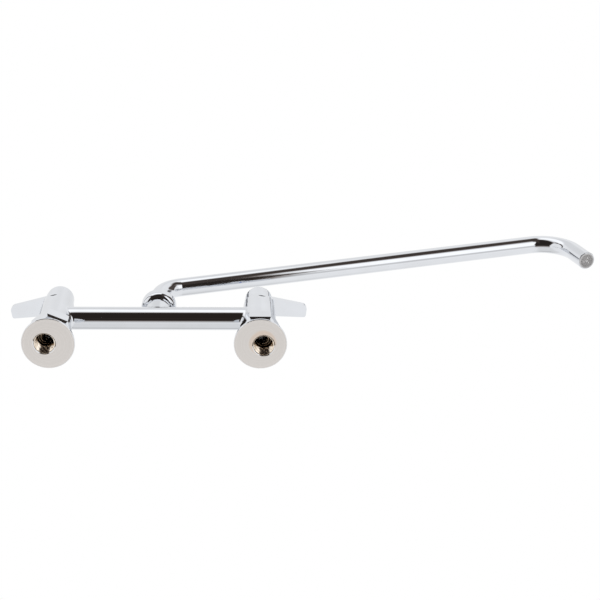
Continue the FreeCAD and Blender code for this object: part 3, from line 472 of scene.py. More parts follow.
@dataclass(frozen=True)
class FacedFlange:
    """Mirror plate with a turned satin foot face, a brassy halo and a tarnished brass inlet whose roof has dark
    rings of painted shade.

    A start is the share of a height at which a change begins, and a fade is the length that it takes.
    """

    plate: MirrorPlate
    axis: Triple
    inlet: Triple
    halo_centre: Triple
    halo_radius: float
    halo_share: float
    inlet_radius: float = 0.01043
    inlet_fade: float = 0.00002
    face_height: float = 0.00006
    face_start: float = 0.6
    mouth_height: float = 0.00075
    mouth_start: float = 0.98
    halo_fade: float = 0.0022
    face_tint: Colour = (0.80, 0.765, 0.735)
    ring_tint: Colour = (0.745, 0.712, 0.684)
    halo_tint: Colour = (0.77, 0.65, 0.55)
    inlet_tint: Colour = (0.62, 0.48, 0.34)
    # Near-black colour of the rings of painted shade on the inlet's roof.
    groove_tint: Colour = (0.03, 0.02, 0.012)
    groove_pitch: float = 0.0022
    groove_span: Span = (0.0, 0.9)
    face_roughness: Span = (0.30, 0.38)
    inlet_roughness: float = 0.5
    ring_pitch: float = 0.0007
    ring_depth: float = 0.0000015
    plain_level: float = 0.5
    stain_scale: float = 70.0
    stain_detail: float = 2.0
    stain_reach: float = 0.002

    def material(self, name: str) -> bpy.types.Material:
        """Make the flange's material.

        The turned face is where the height over the deck is under the face height, and the inlet is where the
        distance from its axis is under its radius and the height is over its mouth. The rings of the face are
        noise along the distance from the turning axis. The inlet's roof gets near-black rings of painted shade,
        for the shaded steps deep in the bore, from a sine of the distance from the inlet's axis.

        Args:
            name: Name of the material.

        Returns:
            The material.
        """
        graph = Graph(name)
        split = graph.node("ShaderNodeSeparateXYZ")
        graph.link(graph.place, split.inputs[0])
        height = split.outputs["Z"]
        plated = graph.span(height, (self.face_height * self.face_start, self.face_height), RISE)
        ring = graph.span(graph.rings(graph.distance(self.axis), self.ring_pitch), NOISE_SPAN, RISE)
        face = graph.blend(ring, self.face_tint, self.ring_tint)
        stain = graph.maths("MULTIPLY", graph.noise(self.stain_scale, self.stain_detail), self.stain_reach)
        edge = graph.maths("ADD", graph.distance(self.halo_centre), stain)
        halo_end = self.halo_radius + self.halo_fade
        halo = graph.span(edge, (self.halo_radius, halo_end), (self.halo_share, 0.0))
        face = graph.blend(halo, face, self.halo_tint)
        colour, roughness = self.plate.paint(graph)
        off_axis = graph.distance(self.inlet)
        # Painted shade: near-black rings on the inlet's roof stand for the shaded steps deep in the bore.
        wave = graph.maths("SINE", graph.maths("MULTIPLY", off_axis, 2.0 * math.pi / self.groove_pitch))
        roof = graph.blend(graph.span(wave, self.groove_span, RISE), self.groove_tint, self.inlet_tint)
        within = graph.span(off_axis, (self.inlet_radius, self.inlet_radius + self.inlet_fade), FALL)
        above = graph.span(height, (self.mouth_height * self.mouth_start, self.mouth_height), RISE)
        inlet = graph.maths("MULTIPLY", within, above)
        graph.set("Base Color", graph.blend(inlet, graph.blend(plated, face, colour), roof))
        dull = graph.mix_values(plated, graph.span(ring, RISE, self.face_roughness), roughness)
        graph.set("Roughness", graph.mix_values(inlet, dull, self.inlet_roughness))
        graph.set("Metallic", 1.0)
        graph.bump(graph.mix_values(plated, ring, self.plain_level), self.ring_depth)
        return graph.material


@dataclass(frozen=True)
class DottedCap:
    """Mirror plate with a small round dot of enamel on its axis."""

    plate: MirrorPlate
    axis: Triple
    tint: Colour
    dot_radius: float = 0.0016
    dot_start: float = 0.97
    dot_roughness: float = 0.25

    def material(self, name: str) -> bpy.types.Material:
        """Make the cap's material, with the dot where the distance from the axis is under its radius.

        Args:
            name: Name of the material.

        Returns:
            The material.
        """
        graph = Graph(name)
        colour, roughness = self.plate.paint(graph)
        edge = (self.dot_radius * self.dot_start, self.dot_radius)
        dot = graph.span(graph.distance(self.axis), edge, FALL)
        graph.set("Base Color", graph.blend(dot, colour, self.tint))
        graph.set("Roughness", graph.mix_values(dot, roughness, self.dot_roughness))
        graph.set("Metallic", graph.maths("SUBTRACT", 1.0, dot))
        return graph.material


@dataclass(frozen=True)
class TurnedMetal:
    """Bare metal from the lathe, with fine lines along its axis and some tarnish."""

    bright: Colour
    tarnished: Colour
    roughness: Span = (0.18, 0.38)
    line_stretch: Triple = (40.0, 40.0, 4000.0)
    tarnish_scale: float = 160.0
    line_depth: float = 0.000006
    line_detail: float = 2.0
    tarnish_detail: float = 4.0
    tarnish_span: Span = (0.35, 0.7)

    def material(self, name: str) -> bpy.types.Material:
        """Make the metal's material.

        Args:
            name: Name of the material.

        Returns:
            The material.
        """
        graph = Graph(name)
        lines = graph.noise(1.0, self.line_detail, graph.mapped(scale=self.line_stretch))
        blotches = graph.noise(self.tarnish_scale, self.tarnish_detail)
        tarnish = graph.span(blotches, self.tarnish_span, RISE)
        graph.set("Base Color", graph.blend(tarnish, self.bright, self.tarnished))
        graph.set("Roughness", graph.span(lines, NOISE_SPAN, self.roughness))
        graph.set("Metallic", 1.0)
        graph.bump(lines, self.line_depth)
        return graph.material


@dataclass(frozen=True)
class Moulded:
    """Moulded or pressed stuff such as plastic, rubber or ceramic, with a fine grain."""

    tint: Colour
    shade: Colour
    roughness: Span = (0.3, 0.5)
    grain_scale: float = 1400.0
    cloud_scale: float = 120.0
    grain_depth: float = 0.00001
    specular: float = 0.5
    cloud_span: Span = (0.35, 0.65)

    def material(self, name: str) -> bpy.types.Material:
        """Make the moulded material.

        Args:
            name: Name of the material.

        Returns:
            The material.
        """
        graph = Graph(name)
        grain = graph.noise(self.grain_scale)
        cloud = graph.span(graph.noise(self.cloud_scale), self.cloud_span, RISE)
        graph.set("Base Color", graph.blend(cloud, self.tint, self.shade))
        graph.set("Roughness", graph.span(grain, NOISE_SPAN, self.roughness))
        graph.set("Specular IOR Level", self.specular)
        graph.bump(grain, self.grain_depth)
        return graph.material


class Finishes:
    """The finishes of the whole faucet, one material per slot, and the two flange faces."""

    def __init__(self) -> None:
        """Make the materials."""
        plate = MirrorPlate()
        plain = {
            Slot.CHROME: plate,
            Slot.BRASS: TurnedMetal((0.62, 0.45, 0.22), (0.45, 0.29, 0.13)),
            Slot.SPRING: TurnedMetal((0.42, 0.42, 0.43), (0.26, 0.26, 0.27)),
            Slot.SCREW: TurnedMetal((0.62, 0.62, 0.63), (0.48, 0.48, 0.49), (0.15, 0.3)),
            Slot.RUBBER: Moulded((0.022, 0.022, 0.023), (0.035, 0.035, 0.036), (0.5, 0.75)),
            Slot.CERAMIC: Moulded((0.86, 0.85, 0.82), (0.80, 0.79, 0.76), (0.12, 0.25), 2500.0),
            Slot.SLIP: Moulded((0.84, 0.84, 0.82), (0.76, 0.76, 0.74), (0.35, 0.55)),
            Slot.OUTLET: Moulded((0.50, 0.49, 0.49), (0.43, 0.42, 0.42), (0.35, 0.55)),
            Slot.SCREEN: Moulded((0.36, 0.35, 0.35), (0.31, 0.30, 0.30), (0.35, 0.55)),
        }
        self.by_slot = {slot: finish.material(slot.value) for slot, finish in plain.items()}
        halo = {
            Side.LEFT: ((-0.1052, 0.0002, 0.0), 0.0108, 0.35),
            Side.RIGHT: ((0.1039, -0.0009, 0.0), 0.0128, 0.85),
        }
        dots = {Side.LEFT: (0.50, 0.018, 0.015), Side.RIGHT: (0.018, 0.075, 0.38)}
        self.flange: dict[Side, bpy.types.Material] = {}
        self.button: dict[Side, bpy.types.Material] = {}
        for side in Side:
            axis = tuple(joint_place(f"{side.word}_flange_turn"))
            inlet = tuple(mount_row(f"{side.word}_inlet")["pos_m"])
            foot = FacedFlange(plate, axis, inlet, *halo[side])
            self.flange[side] = foot.material(f"{side.word}_flange_plate")
            cap = DottedCap(plate, axis, dots[side])
            self.button[side] = cap.material(f"{side.word}_button_plate")
        self.nub = Moulded((0.90, 0.89, 0.88), (0.82, 0.81, 0.80), (0.25, 0.4)).material("nub_plastic")
        self.thread = TurnedMetal(
            (0.92, 0.84, 0.74), (0.76, 0.65, 0.53), (0.08, 0.16), line_depth=0.000001
        ).material("thread_metal")

    def dress(self, node: str, slot: Slot, side: "Side | None" = None) -> None:
        """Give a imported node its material.

        Args:
            node: Name of the node.
            slot: Slot of its finish.
            side: Column that the node belongs to, needed for a flange or a button.
        """
        by_side = {Slot.FLANGE: self.flange, Slot.HOT: self.button, Slot.COLD: self.button}
        material = by_side[slot][side] if slot in by_side else self.by_slot[slot]
        for holder in frame["nodes"][node].material_slots:
            holder.material = material
        LOG.info("dressed %s as %s", node, slot.value)


@dataclass
class InletThread:
    """Pipe thread in the foot of a column, a sleeve that fills the tapped length of the inlet."""

    side: Side
    pitch: float = 0.001814
    depth: float = 0.00115
    flat_share: float = 0.08
    root_wall: float = 0.0001
    gap: float = 0.00002
    lead_in: float = 0.0018
    back_gap: float = 0.0002
    turn_steps: int = 96
    steps_per_pitch: int = 12
    crease: float = 30.0

    def build(self, finishes: Finishes) -> bpy.types.Object:
        """Build the thread and hang it on its flange.

        On a grid of turn angle a and height h over the mouth, the inner wall's radius is the tapped radius
        less the root's wall and the thread depth times a ridge. The ridge is a triangle wave of
        h / pitch - a / (2 pi), so it climbs one pitch per turn. It is clipped at root and crest by the flat
        share, and it fades in over the lead-in. A second wall at the tapped radius closes the sleeve. Edges
        that turn by more than the crease angle stay sharp.

        Args:
            finishes: The faucet's finishes.

        Returns:
            The thread.
        """
        row = mount_row(f"{self.side.word}_inlet")
        mouth = np.array(row["pos_m"])
        tapped = row["dims"]["r_mm"] / 1000.0 - self.gap
        length = row["dims"]["length_mm"] / 1000.0 - self.back_gap
        steps = int(self.steps_per_pitch * length / self.pitch)
        angle = np.linspace(0.0, 2.0 * math.pi, self.turn_steps, endpoint=False)[:, None]
        height = np.linspace(0.0, length, steps)[None, :]
        phase = height / self.pitch - angle / (2.0 * math.pi)
        triangle = np.abs(2.0 * (phase - np.floor(phase)) - 1.0)
        clipped = np.clip((triangle - self.flat_share) / (1.0 - 2.0 * self.flat_share), 0.0, 1.0)
        ridge = clipped * smooth_step(height / self.lead_in)
        inner = tapped - self.root_wall - self.depth * ridge
        outer = np.full_like(inner, tapped)
        radius = np.concatenate((inner, outer), axis=1)
        rise = np.concatenate((height, height[:, ::-1]), axis=1) + np.zeros_like(radius)
        points = np.stack((radius * np.cos(angle), radius * np.sin(angle), rise), axis=-1) + mouth
        quads = outward(points, grid_quads(self.turn_steps, 2 * steps, True, True))
        piece = mesh_object(f"{self.side.word}_inlet_thread", points, quads.tolist())
        piece.data.set_sharp_from_angle(angle=math.radians(self.crease))
        piece.data.materials.append(finishes.thread)
        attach(piece, f"{self.side.word}_flange")
        return piece


@dataclass
class ValveColumn:
    """One column: foot flange, union nut, valve body, cartridge, bonnet and lever."""

    side: Side

    PIECES: ClassVar[dict[str, Slot]] = {
        "inlet_flange": Slot.FLANGE,
        "retaining_ring": Slot.SPRING,
        "coupling_nut": Slot.CHROME,
        "inlet_washer": Slot.RUBBER,
        "valve_body": Slot.CHROME,
        "seat_seal": Slot.RUBBER,
        "fixed_disc": Slot.CERAMIC,
        "moving_disc": Slot.CERAMIC,
        "cartridge_housing": Slot.BRASS,
        "housing_o_ring": Slot.RUBBER,
        "stem": Slot.BRASS,
        "stem_o_ring": Slot.RUBBER,
        "stem_clip": Slot.SPRING,
        "bonnet": Slot.CHROME,
        "lever_handle": Slot.CHROME,
        "handle_screw": Slot.SCREW,
    }

    def build(self, finishes: Finishes) -> list[bpy.types.Object]:
        """Dress the column's nodes and build its thread.

        Args:
            finishes: The faucet's finishes.

        Returns:
            The new pieces.
        """
        for piece, slot in self.PIECES.items():
            finishes.dress(f"{self.side.word}_{piece}", slot, self.side)
        button = Slot.HOT if self.side is Side.LEFT else Slot.COLD
        finishes.dress(f"{self.side.word}_index_button", button, self.side)
        return [InletThread(self.side).build(finishes)]


@dataclass
class Bridge:
    """Cross tube with the spout socket, its swivel nut and its bearing rings."""

    seam_leg: float = 0.0013
    seam_sink: float = 0.00012
    end_thinning: float = 0.55
    end_power: int = 4
    boss_foot: float = 0.0119
    taper_start: float = 0.002
    taper_rise: float = 0.013
    arc_steps: int = 40
    bend_steps: int = 8
    corner_rounds: int = 8
    edge_share: float = 0.97

    PIECES: ClassVar[dict[str, Slot]] = {
        "bridge_tube": Slot.CHROME,
        "spout_boss": Slot.CHROME,
        "swivel_nut": Slot.CHROME,
        "thrust_washer": Slot.SLIP,
        "slip_ring": Slot.SLIP,
    }

    def build(self, finishes: Finishes) -> list[bpy.types.Object]:
        """Dress the bridge's nodes and build the socket's seams.

        Args:
            finishes: The faucet's finishes.

        Returns:
            The new pieces.
        """
        for piece, slot in self.PIECES.items():
            finishes.dress(piece, slot)
        return [self.seam(finishes, side) for side in Side]

    def seam(self, finishes: Finishes, side: Side) -> bpy.types.Object:
        """Build the brazed seam on one side of the socket.

        The socket is an upright round boss on the level tube, which widens over the taper's rise. Where it
        meets the tube, its radius at that height is found by a few rounds of putting the height of the tube
        into the taper. At each turn angle the seam starts on the socket a leg above the corner, and ends on
        the tube a leg outside the socket. The leg thins towards both ends of the seam. Between top and foot
        the seam follows the curve (1 - v)^2 top + 2 v (1 - v) corner + v^2 foot. A line just inside the
        metal closes its section.

        Args:
            finishes: The faucet's finishes.
            side: Side of the socket.

        Returns:
            The seam.
        """
        tube_low, tube_high = (np.array(corner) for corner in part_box("bridge_tube"))
        boss_low, boss_high = (np.array(corner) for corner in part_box("spout_boss"))
        tube = (tube_high[2] - tube_low[2]) / 2.0
        level = (tube_high[2] + tube_low[2]) / 2.0
        widest = (boss_high[1] - boss_low[1]) / 2.0
        reach = math.asin(self.edge_share * tube / (self.boss_foot + self.seam_leg))
        angle = np.linspace(-reach, reach, self.arc_steps)[:, None]
        leg = self.seam_leg * (1.0 - self.end_thinning * (angle / reach) ** self.end_power)
        heading = np.stack((side.value * np.cos(angle), np.sin(angle), np.zeros_like(angle)), axis=-1)
        up = np.array((0.0, 0.0, 1.0))

        def boss_radius(height: np.ndarray) -> np.ndarray:
            """Return the boss's radius at heights over the deck."""
            share = np.clip((height - level - self.taper_start) / self.taper_rise, 0.0, 1.0)
            return self.boss_foot + (widest - self.boss_foot) * share

        def on_tube(out: np.ndarray) -> np.ndarray:
            """Return the tube's points at a distance from the socket's axis."""
            flat = out[..., None] * heading
            return flat + (level + np.sqrt(tube**2 - np.minimum(flat[..., 1] ** 2, tube**2)))[..., None] * up

        boss = np.full_like(angle, self.boss_foot)
        for _ in range(self.corner_rounds):
            boss = boss_radius(on_tube(boss)[..., 2])
        corner = on_tube(boss)
        crest = corner + leg[..., None] * up
        top = crest + (boss_radius(crest[..., 2]) - boss)[..., None] * heading
        foot = on_tube(boss + leg)
        v = np.linspace(0.0, 1.0, self.bend_steps)[None, :, None]
        curve = (1.0 - v) ** 2 * top + 2.0 * v * (1.0 - v) * corner + v**2 * foot
        sunk = corner - self.seam_sink * (heading + up)
        points = np.concatenate((curve, sunk), axis=1)
        columns = self.bend_steps + 1
        quads = grid_quads(self.arc_steps, columns, False, True)
        quads = outward(points, quads)
        forward = quads[0, 1] == columns
        first = list(range(columns))
        last = [number + (self.arc_steps - 1) * columns for number in first]
        caps = [first, last[::-1]] if forward else [first[::-1], last]
        piece = mesh_object(f"socket_seam_{side.word}", points, quads.tolist() + caps)
        piece.data.materials.append(finishes.by_slot[Slot.CHROME])
        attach(piece, "bridge")
        return piece


@dataclass
class Spout:
    """Swing spout with its bearing sleeve, O-rings and outlet."""

    nub_radius: float = 0.00062
    nub_rise: float = 0.0004
    nub_sink: float = 0.0001
    nub_circle: float = 0.00325
    nub_count: int = 3
    nub_turn: float = math.radians(15.0)
    bead_radius: float = 0.00092
    bead_section: float = 0.0003
    turn_steps: int = 20
    arc_steps: int = 6

    PIECES: ClassVar[dict[str, Slot]] = {
        "spout_tube": Slot.CHROME,
        "spout_sleeve": Slot.BRASS,
        "spout_o_ring_lower": Slot.RUBBER,
        "spout_o_ring_upper": Slot.RUBBER,
        "outlet_housing": Slot.OUTLET,
        "flow_screen": Slot.SCREEN,
        "outlet_gasket": Slot.RUBBER,
    }

    def build(self, finishes: Finishes) -> list[bpy.types.Object]:
        """Dress the spout's nodes and build the relief of its outlet.

        Args:
            finishes: The faucet's finishes.

        Returns:
            The new pieces.
        """
        for piece, slot in self.PIECES.items():
            finishes.dress(piece, slot)
        centre, axes = self.outlet_face()
        pieces = [self.nubs(centre, axes), self.bead(centre, axes)]
        for piece in pieces:
            piece.data.materials.append(finishes.nub)
            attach(piece, "spout")
        return pieces

    @staticmethod
    def outlet_face() -> tuple[np.ndarray, np.ndarray]:
        """Find the outer face of the flow screen.

        The screen is a thin disc, so the direction in which its points spread least is its axis. The middle
        of the spread across the disc is its centre.

        Returns:
            The centre of the outer face, and three unit rows: two across the face and one out of it.
        """
        mesh = frame["nodes"]["flow_screen"].data
        points = np.empty(3 * len(mesh.vertices))
        mesh.vertices.foreach_get("co", points)
        points = points.reshape(-1, 3)
        normal = np.linalg.svd(points - points.mean(axis=0), full_matrices=False)[2][2]
        normal = normal if normal[2] < 0.0 else -normal
        across = np.cross((0.0, 1.0, 0.0), normal)
        across /= np.linalg.norm(across)
        axes = np.stack((across, np.cross(normal, across), normal))
        spread = points @ axes.T
        middle = (spread.min(axis=0) + spread.max(axis=0)) / 2.0
        middle[2] = spread[:, 2].max()
        return middle @ axes, axes

    def nubs(self, centre: np.ndarray, axes: np.ndarray) -> bpy.types.Object:
        """Build the domed nubs of the flow screen.

        Each nub is a turned shell. Its profile is a flat foot just inside the screen and a quarter of an
        ellipse, r cos t across and rise sin t up. The nubs stand on a circle, evenly spaced.

        Args:
            centre: Centre of the screen's outer face.
            axes: Two unit rows across the face and one out of it.

        Returns:
            The nubs.
        """
        bend = np.linspace(0.0, math.pi / 2.0, self.arc_steps)
        radius = np.concatenate(((0.0, self.nub_radius), self.nub_radius * np.cos(bend[:-1]), (0.0,)))
        height = np.concatenate(((-self.nub_sink, -self.nub_sink), self.nub_rise * np.sin(bend)))
        points, faces = turned_shell(radius, height, self.turn_steps)
        turn = self.nub_turn + np.arange(self.nub_count) * 2.0 * math.pi / self.nub_count
        spots = self.nub_circle * np.stack((np.cos(turn), np.sin(turn), np.zeros_like(turn)), axis=-1)
        placed = (spots[:, None, :] + points[None, :, :]) @ axes + centre
        copies = [
            [number + copy * len(points) for number in face]
            for copy in range(self.nub_count)
            for face in faces
        ]
        return mesh_object("outlet_nubs", placed, copies)

    def bead(self, centre: np.ndarray, axes: np.ndarray) -> bpy.types.Object:
        """Build the bead round the middle hole of the flow screen.

        It is a ring of round section: (R + s cos b) cos a and (R + s cos b) sin a across, s sin b up.

        Args:
            centre: Centre of the screen's outer face.
            axes: Two unit rows across the face and one out of it.

        Returns:
            The bead.
        """
        a = np.linspace(0.0, 2.0 * math.pi, 2 * self.turn_steps, endpoint=False)[:, None]
        b = np.linspace(0.0, 2.0 * math.pi, 2 * self.arc_steps, endpoint=False)[None, :]
        out = self.bead_radius + self.bead_section * np.cos(b)
        lift = self.bead_section * np.sin(b) + np.zeros_like(a)
        ring = np.stack((out * np.cos(a), out * np.sin(a), lift), axis=-1)
        points = ring @ axes + centre
        quads = outward(points, grid_quads(2 * self.turn_steps, 2 * self.arc_steps, True, True))
        return mesh_object("outlet_bead", points, quads.tolist())


@dataclass(frozen=True)
class Edge:
    """Soft edge of a shade.

    The place and the width of the ramp are in degrees. The lean shifts the place per degree of the other
    angle.
    """

    place: float
    soft: float
    lean: float = 0.0

    def passed(self, angle: np.ndarray, other: np.ndarray) -> np.ndarray:
        """Return 0 before the edge and 1 beyond it, with a soft rise between."""
        return smooth_step((angle - self.place - self.lean * other) / self.soft + 0.5)


# An edge beyond every angle, for a patch that is open on that side.
OPEN_EDGE = Edge(400.0, 1.0)


@dataclass(frozen=True)
class Shade:
    """A darker or brighter patch of the studio, between four soft edges.

    The glow is 1 where the patch is as bright as white paper. The left and right edges are angles across, the
    low and high edges are angles up, both seen from the faucet with the camera's direction at 0.
    """

    name: str
    glow: float
    left: Edge
    right: Edge
    low: Edge
    high: Edge

    def share(self, across: np.ndarray, up: np.ndarray) -> np.ndarray:
        """Work out how much of the patch there is in each direction.

        The share is the product of four soft steps, one per edge.

        Args:
            across: Angles across, in degrees.
            up: Angles up, in degrees.

        Returns:
            The shares, 0 to 1.
        """
        beside = self.left.passed(across, up) * (1.0 - self.right.passed(across, up))
        return beside * self.low.passed(up, across) * (1.0 - self.high.passed(up, across))


@dataclass(frozen=True)
class Surround:
    """The studio's walls as one large sphere that only reflections see.

    It is white, with flags and softboxes on it.
    """

    facing: Triple
    upward: Triple
    shades: tuple[Shade, ...]
    name: str = "studio_surround"
    radius: float = 9.0
    steps: tuple[int, int] = (161, 240)
    pole: float = 89.9
    dark_tint: Colour = (1.0, 0.78, 0.68)
    warm_span: Span = (0.0, 0.6)

    def build(self) -> bpy.types.Object:
        """Build the sphere and store its glow.

        With across angle p and up angle t, the direction is
        cos p (cos t facing + sin t upward) + sin p right. The glow starts at 1, and each shade in turn pulls
        it towards its own glow by its share.

        Returns:
            The sphere.
        """
        facing = np.array(self.facing) / np.linalg.norm(self.facing)
        right = np.cross(self.upward, facing)
        right /= np.linalg.norm(right)
        upward = np.cross(facing, right)
        across = np.linspace(-self.pole, self.pole, self.steps[0])[:, None]
        up = np.linspace(-180.0, 180.0, self.steps[1], endpoint=False)[None, :]
        glow = np.ones(self.steps)
        for shade in self.shades:
            glow += (shade.glow - glow) * shade.share(across, up)
            LOG.info("hung %s", shade.name)
        p, t = np.radians(across)[..., None], np.radians(up)[..., None]
        ray = np.cos(p) * (np.cos(t) * facing + np.sin(t) * upward) + np.sin(p) * right
        quads = grid_quads(*self.steps, False, True)
        sphere = mesh_object(self.name, ray * self.radius, quads.tolist())
        sphere.data.attributes.new("glow", "FLOAT", "POINT").data.foreach_set("value", glow.ravel())
        sphere.data.materials.append(self.material())
        sphere.visible_camera = False
        sphere.visible_diffuse = False
        sphere.visible_transmission = False
        sphere.visible_volume_scatter = False
        sphere.visible_shadow = False
        return sphere

    def material(self) -> bpy.types.Material:
        """Make the walls' light, which reads the stored glow and turns warm where it is dark.

        Returns:
            The material.
        """
        graph = Graph(self.name)
        graph.tree.nodes.remove(graph.shader)
        stored = graph.node("ShaderNodeAttribute")
        stored.attribute_name = "glow"
        light = graph.node("ShaderNodeEmission")
        share = graph.span(stored.outputs["Fac"], self.warm_span, RISE)
        graph.link(graph.blend(share, self.dark_tint, WHITE), light.inputs["Color"])
        graph.link(stored.outputs["Fac"], light.inputs["Strength"])
        graph.link(light.outputs[0], graph.output.inputs["Surface"])
        return graph.material


@dataclass
class Studio:
    """Floor, world, lamps, surround and camera."""

    camera_place: Triple = (0.07429, -0.58804, -1.38119)
    camera_forward: Triple = (0.04343044, 0.36506034, 0.92997029)
    camera_up: Triple = (-0.00381298, -0.93078125, 0.36555675)
    camera_lens: float = 93.6
    camera_sensor: float = 36.0
    camera_clip: Span = (0.02, 60.0)
    floor_half: float = 4.0
    floor_drop: float = 0.0005
    floor_points: int = 3
    floor_tint: Colour = (0.86, 0.86, 0.86)
    floor_roughness: float = 0.9
    cloud_share: float = 0.985
    cloud_scale: float = 3.0
    cloud_detail: float = 2.0
    lamp_aim: Triple = (0.1, 0.0, 0.1)
    ambient: float = 0.72

    def build(self) -> None:
        """Set up the whole studio."""
        self.floor()
        self.world()
        self.lamp("key_lamp", place=(-1.6, -2.2, 2.6), size=2.2, power=60.0)
        self.lamp("side_lamp", place=(2.4, 0.9, 2.0), size=1.8, power=28.0)
        self.lamp("low_lamp", place=(-0.5, -1.6, -2.2), size=2.0, power=34.0)
        self.surround()
        self.camera()

    def camera(self) -> None:
        """Place the camera at the photograph's viewpoint."""
        data = bpy.data.cameras.new("photo_camera")
        data.sensor_fit = "HORIZONTAL"
        data.sensor_width = self.camera_sensor
        data.lens = self.camera_lens
        data.clip_start, data.clip_end = self.camera_clip
        forward = Vector(self.camera_forward).normalized()
        right = forward.cross(Vector(self.camera_up)).normalized()
        up = right.cross(forward)
        camera = bpy.data.objects.new("photo_camera", data)
        turn = Matrix((right, up, -forward)).transposed().to_4x4()
        camera.matrix_world = Matrix.Translation(self.camera_place) @ turn
        bpy.context.scene.collection.objects.link(camera)
        bpy.context.scene.camera = camera

    def floor(self) -> None:
        """Lay a pale floor that only a camera above it sees, so that the view from below stays open."""
        reach = np.linspace(-self.floor_half, self.floor_half, self.floor_points)
        x, y = np.meshgrid(reach, reach, indexing="ij")
        points = np.stack((x, y, np.full_like(x, -self.floor_drop)), axis=-1)
        quads = grid_quads(self.floor_points, self.floor_points, False, False)
        floor = mesh_object("floor", points, quads.tolist())
        graph = Graph("pale_floor")
        cloud = graph.noise(self.cloud_scale, self.cloud_detail)
        darker = tuple(self.cloud_share * value for value in self.floor_tint)
        graph.set("Base Color", graph.blend(cloud, self.floor_tint, darker))
        graph.set("Roughness", self.floor_roughness)
        graph.set("Specular IOR Level", 0.0)
        path = graph.node("ShaderNodeLightPath")
        geometry = graph.node("ShaderNodeNewGeometry")
        front = graph.maths("SUBTRACT", 1.0, geometry.outputs["Backfacing"])
        seen = graph.maths("MULTIPLY", path.outputs["Is Camera Ray"], front)
        clear = graph.node("ShaderNodeBsdfTransparent")
        mix = graph.node("ShaderNodeMixShader")
        graph.link(seen, mix.inputs[0])
        graph.link(clear.outputs[0], mix.inputs[1])
        graph.link(graph.shader.outputs[0], mix.inputs[2])
        graph.link(mix.outputs[0], graph.output.inputs["Surface"])
        floor.data.materials.append(graph.material)

    def world(self) -> None:
        """Make a white surround for the camera, metal and glass, and a softer one for diffuse light."""
        world = bpy.data.worlds.new("white_surround")
        world.use_nodes = True
        bpy.context.scene.world = world
        tree = world.node_tree
        tree.nodes.clear()
        path = tree.nodes.new("ShaderNodeLightPath")
        seen: Socket = path.outputs["Is Camera Ray"]
        for name in ("Is Glossy Ray", "Is Transmission Ray"):
            step = tree.nodes.new("ShaderNodeMath")
            step.operation = "MAXIMUM"
            tree.links.new(seen, step.inputs[0])
            tree.links.new(path.outputs[name], step.inputs[1])
            seen = step.outputs[0]
        strength = tree.nodes.new("ShaderNodeMix")
        tree.links.new(seen, strength.inputs[0])
        for socket, number in zip(strength.inputs[NUMBER_INPUTS], (self.ambient, 1.0)):
            socket.default_value = number
        back = tree.nodes.new("ShaderNodeBackground")
        back.inputs["Color"].default_value = (*WHITE, 1.0)
        tree.links.new(strength.outputs[0], back.inputs["Strength"])
        output = tree.nodes.new("ShaderNodeOutputWorld")
        tree.links.new(back.outputs[0], output.inputs["Surface"])

    def lamp(self, name: str, place: Triple, size: float, power: float) -> None:
        """Hang a square soft lamp that points at the faucet.

        Args:
            name: Name of the lamp.
            place: Where it hangs.
            size: Length of its side.
            power: Power in watts.
        """
        data = bpy.data.lights.new(name, "AREA")
        data.shape = "SQUARE"
        data.size = size
        data.energy = power
        lamp = bpy.data.objects.new(name, data)
        aim = Vector(self.lamp_aim) - Vector(place)
        lamp.matrix_world = Matrix.Translation(place) @ aim.to_track_quat("-Z", "Y").to_matrix().to_4x4()
        lamp.visible_camera = False
        lamp.visible_glossy = False
        bpy.context.scene.collection.objects.link(lamp)

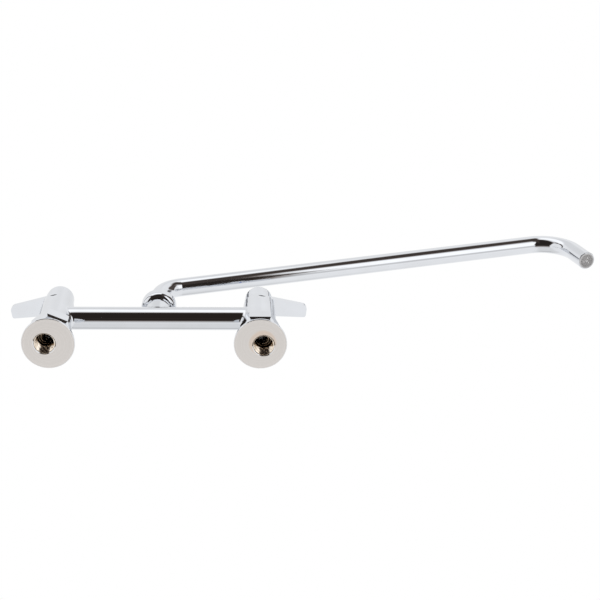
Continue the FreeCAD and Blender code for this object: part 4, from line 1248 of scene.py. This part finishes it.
    def surround(self) -> None:
        """Hang the flags, softboxes and shaded walls round the faucet."""
        shades = (
            Shade(
                "lower_wall", 0.86, left=Edge(-40.0, 20.0), right=Edge(20.0, 16.0),
                low=Edge(-130.0, 16.0), high=Edge(-52.0, 10.0),
            ),
            Shade(
                "lower_wall_shadow", 0.68, left=Edge(-16.0, 14.0), right=Edge(12.0, 14.0),
                low=Edge(-130.0, 14.0), high=Edge(-106.0, 18.0),
            ),
            Shade(
                "upper_wall", 0.86, left=Edge(-40.0, 10.0), right=Edge(5.0, 10.0),
                low=Edge(104.0, 8.0), high=Edge(135.0, 24.0),
            ),
            Shade(
                "back_wall", 0.90, left=Edge(-60.0, 20.0), right=Edge(40.0, 20.0),
                low=Edge(145.0, 30.0), high=OPEN_EDGE,
            ),
            Shade(
                "right_low_strip", 0.72, left=Edge(28.0, 6.0), right=Edge(50.0, 8.0),
                low=Edge(-31.0, 10.0), high=Edge(-13.0, 10.0),
            ),
            Shade(
                "right_low_softbox", 1.12, left=Edge(30.0, 8.0), right=Edge(50.0, 8.0),
                low=Edge(-56.0, 16.0), high=Edge(-36.0, 10.0),
            ),
            Shade(
                "right_softbox", 1.3, left=Edge(24.0, 6.0), right=Edge(50.0, 8.0),
                low=Edge(-9.0, 12.0), high=Edge(40.0, 14.0),
            ),
            Shade(
                "left_slanting_flag", 0.06, left=Edge(-82.0, 10.0), right=Edge(-33.0, 8.0),
                low=Edge(-10.5, 8.0, -1.5), high=Edge(12.0, 8.0, -1.5),
            ),
            Shade(
                "upper_right_flag", 0.09, left=Edge(40.0, 10.0), right=OPEN_EDGE,
                low=Edge(52.0, 14.0), high=Edge(140.0, 24.0),
            ),
            Shade(
                "front_flag_upper", 0.025, left=Edge(-37.0, 6.0), right=Edge(34.6, 2.0, -0.267),
                low=Edge(-2.0, 8.0), high=Edge(64.0, 16.0, 0.45),
            ),
            Shade(
                "front_flag_lower", 0.025, left=Edge(-34.0, 8.0), right=Edge(33.6, 3.0),
                low=Edge(-30.0, 26.0), high=Edge(2.0, 8.0),
            ),
            Shade(
                "right_slanting_flag", 0.06, left=Edge(13.5, 5.0), right=Edge(52.0, 14.0),
                low=Edge(-23.5, 34.0, 2.3), high=Edge(97.0, 18.0),
            ),
            Shade(
                "top_softbox", 1.3, left=Edge(-45.0, 6.0), right=Edge(10.5, 5.0),
                low=Edge(70.0, 10.0), high=Edge(98.0, 10.0),
            ),
        )
        Surround(tuple(-value for value in self.camera_forward), self.camera_up, shades).build()


def main() -> None:
    """Build the faucet's looks piece by piece, then the studio."""
    logging.basicConfig(level=logging.INFO, format="%(message)s")
    bpy.context.scene.view_settings.view_transform = "Standard"
    finishes = Finishes()
    for part in (*(ValveColumn(side) for side in Side), Bridge(), Spout()):
        for piece in part.build(finishes):
            LOG.info("built %s with %d faces", piece.name, len(piece.data.polygons))
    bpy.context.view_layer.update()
    Studio().build()


if __name__ == "__main__":
    main()
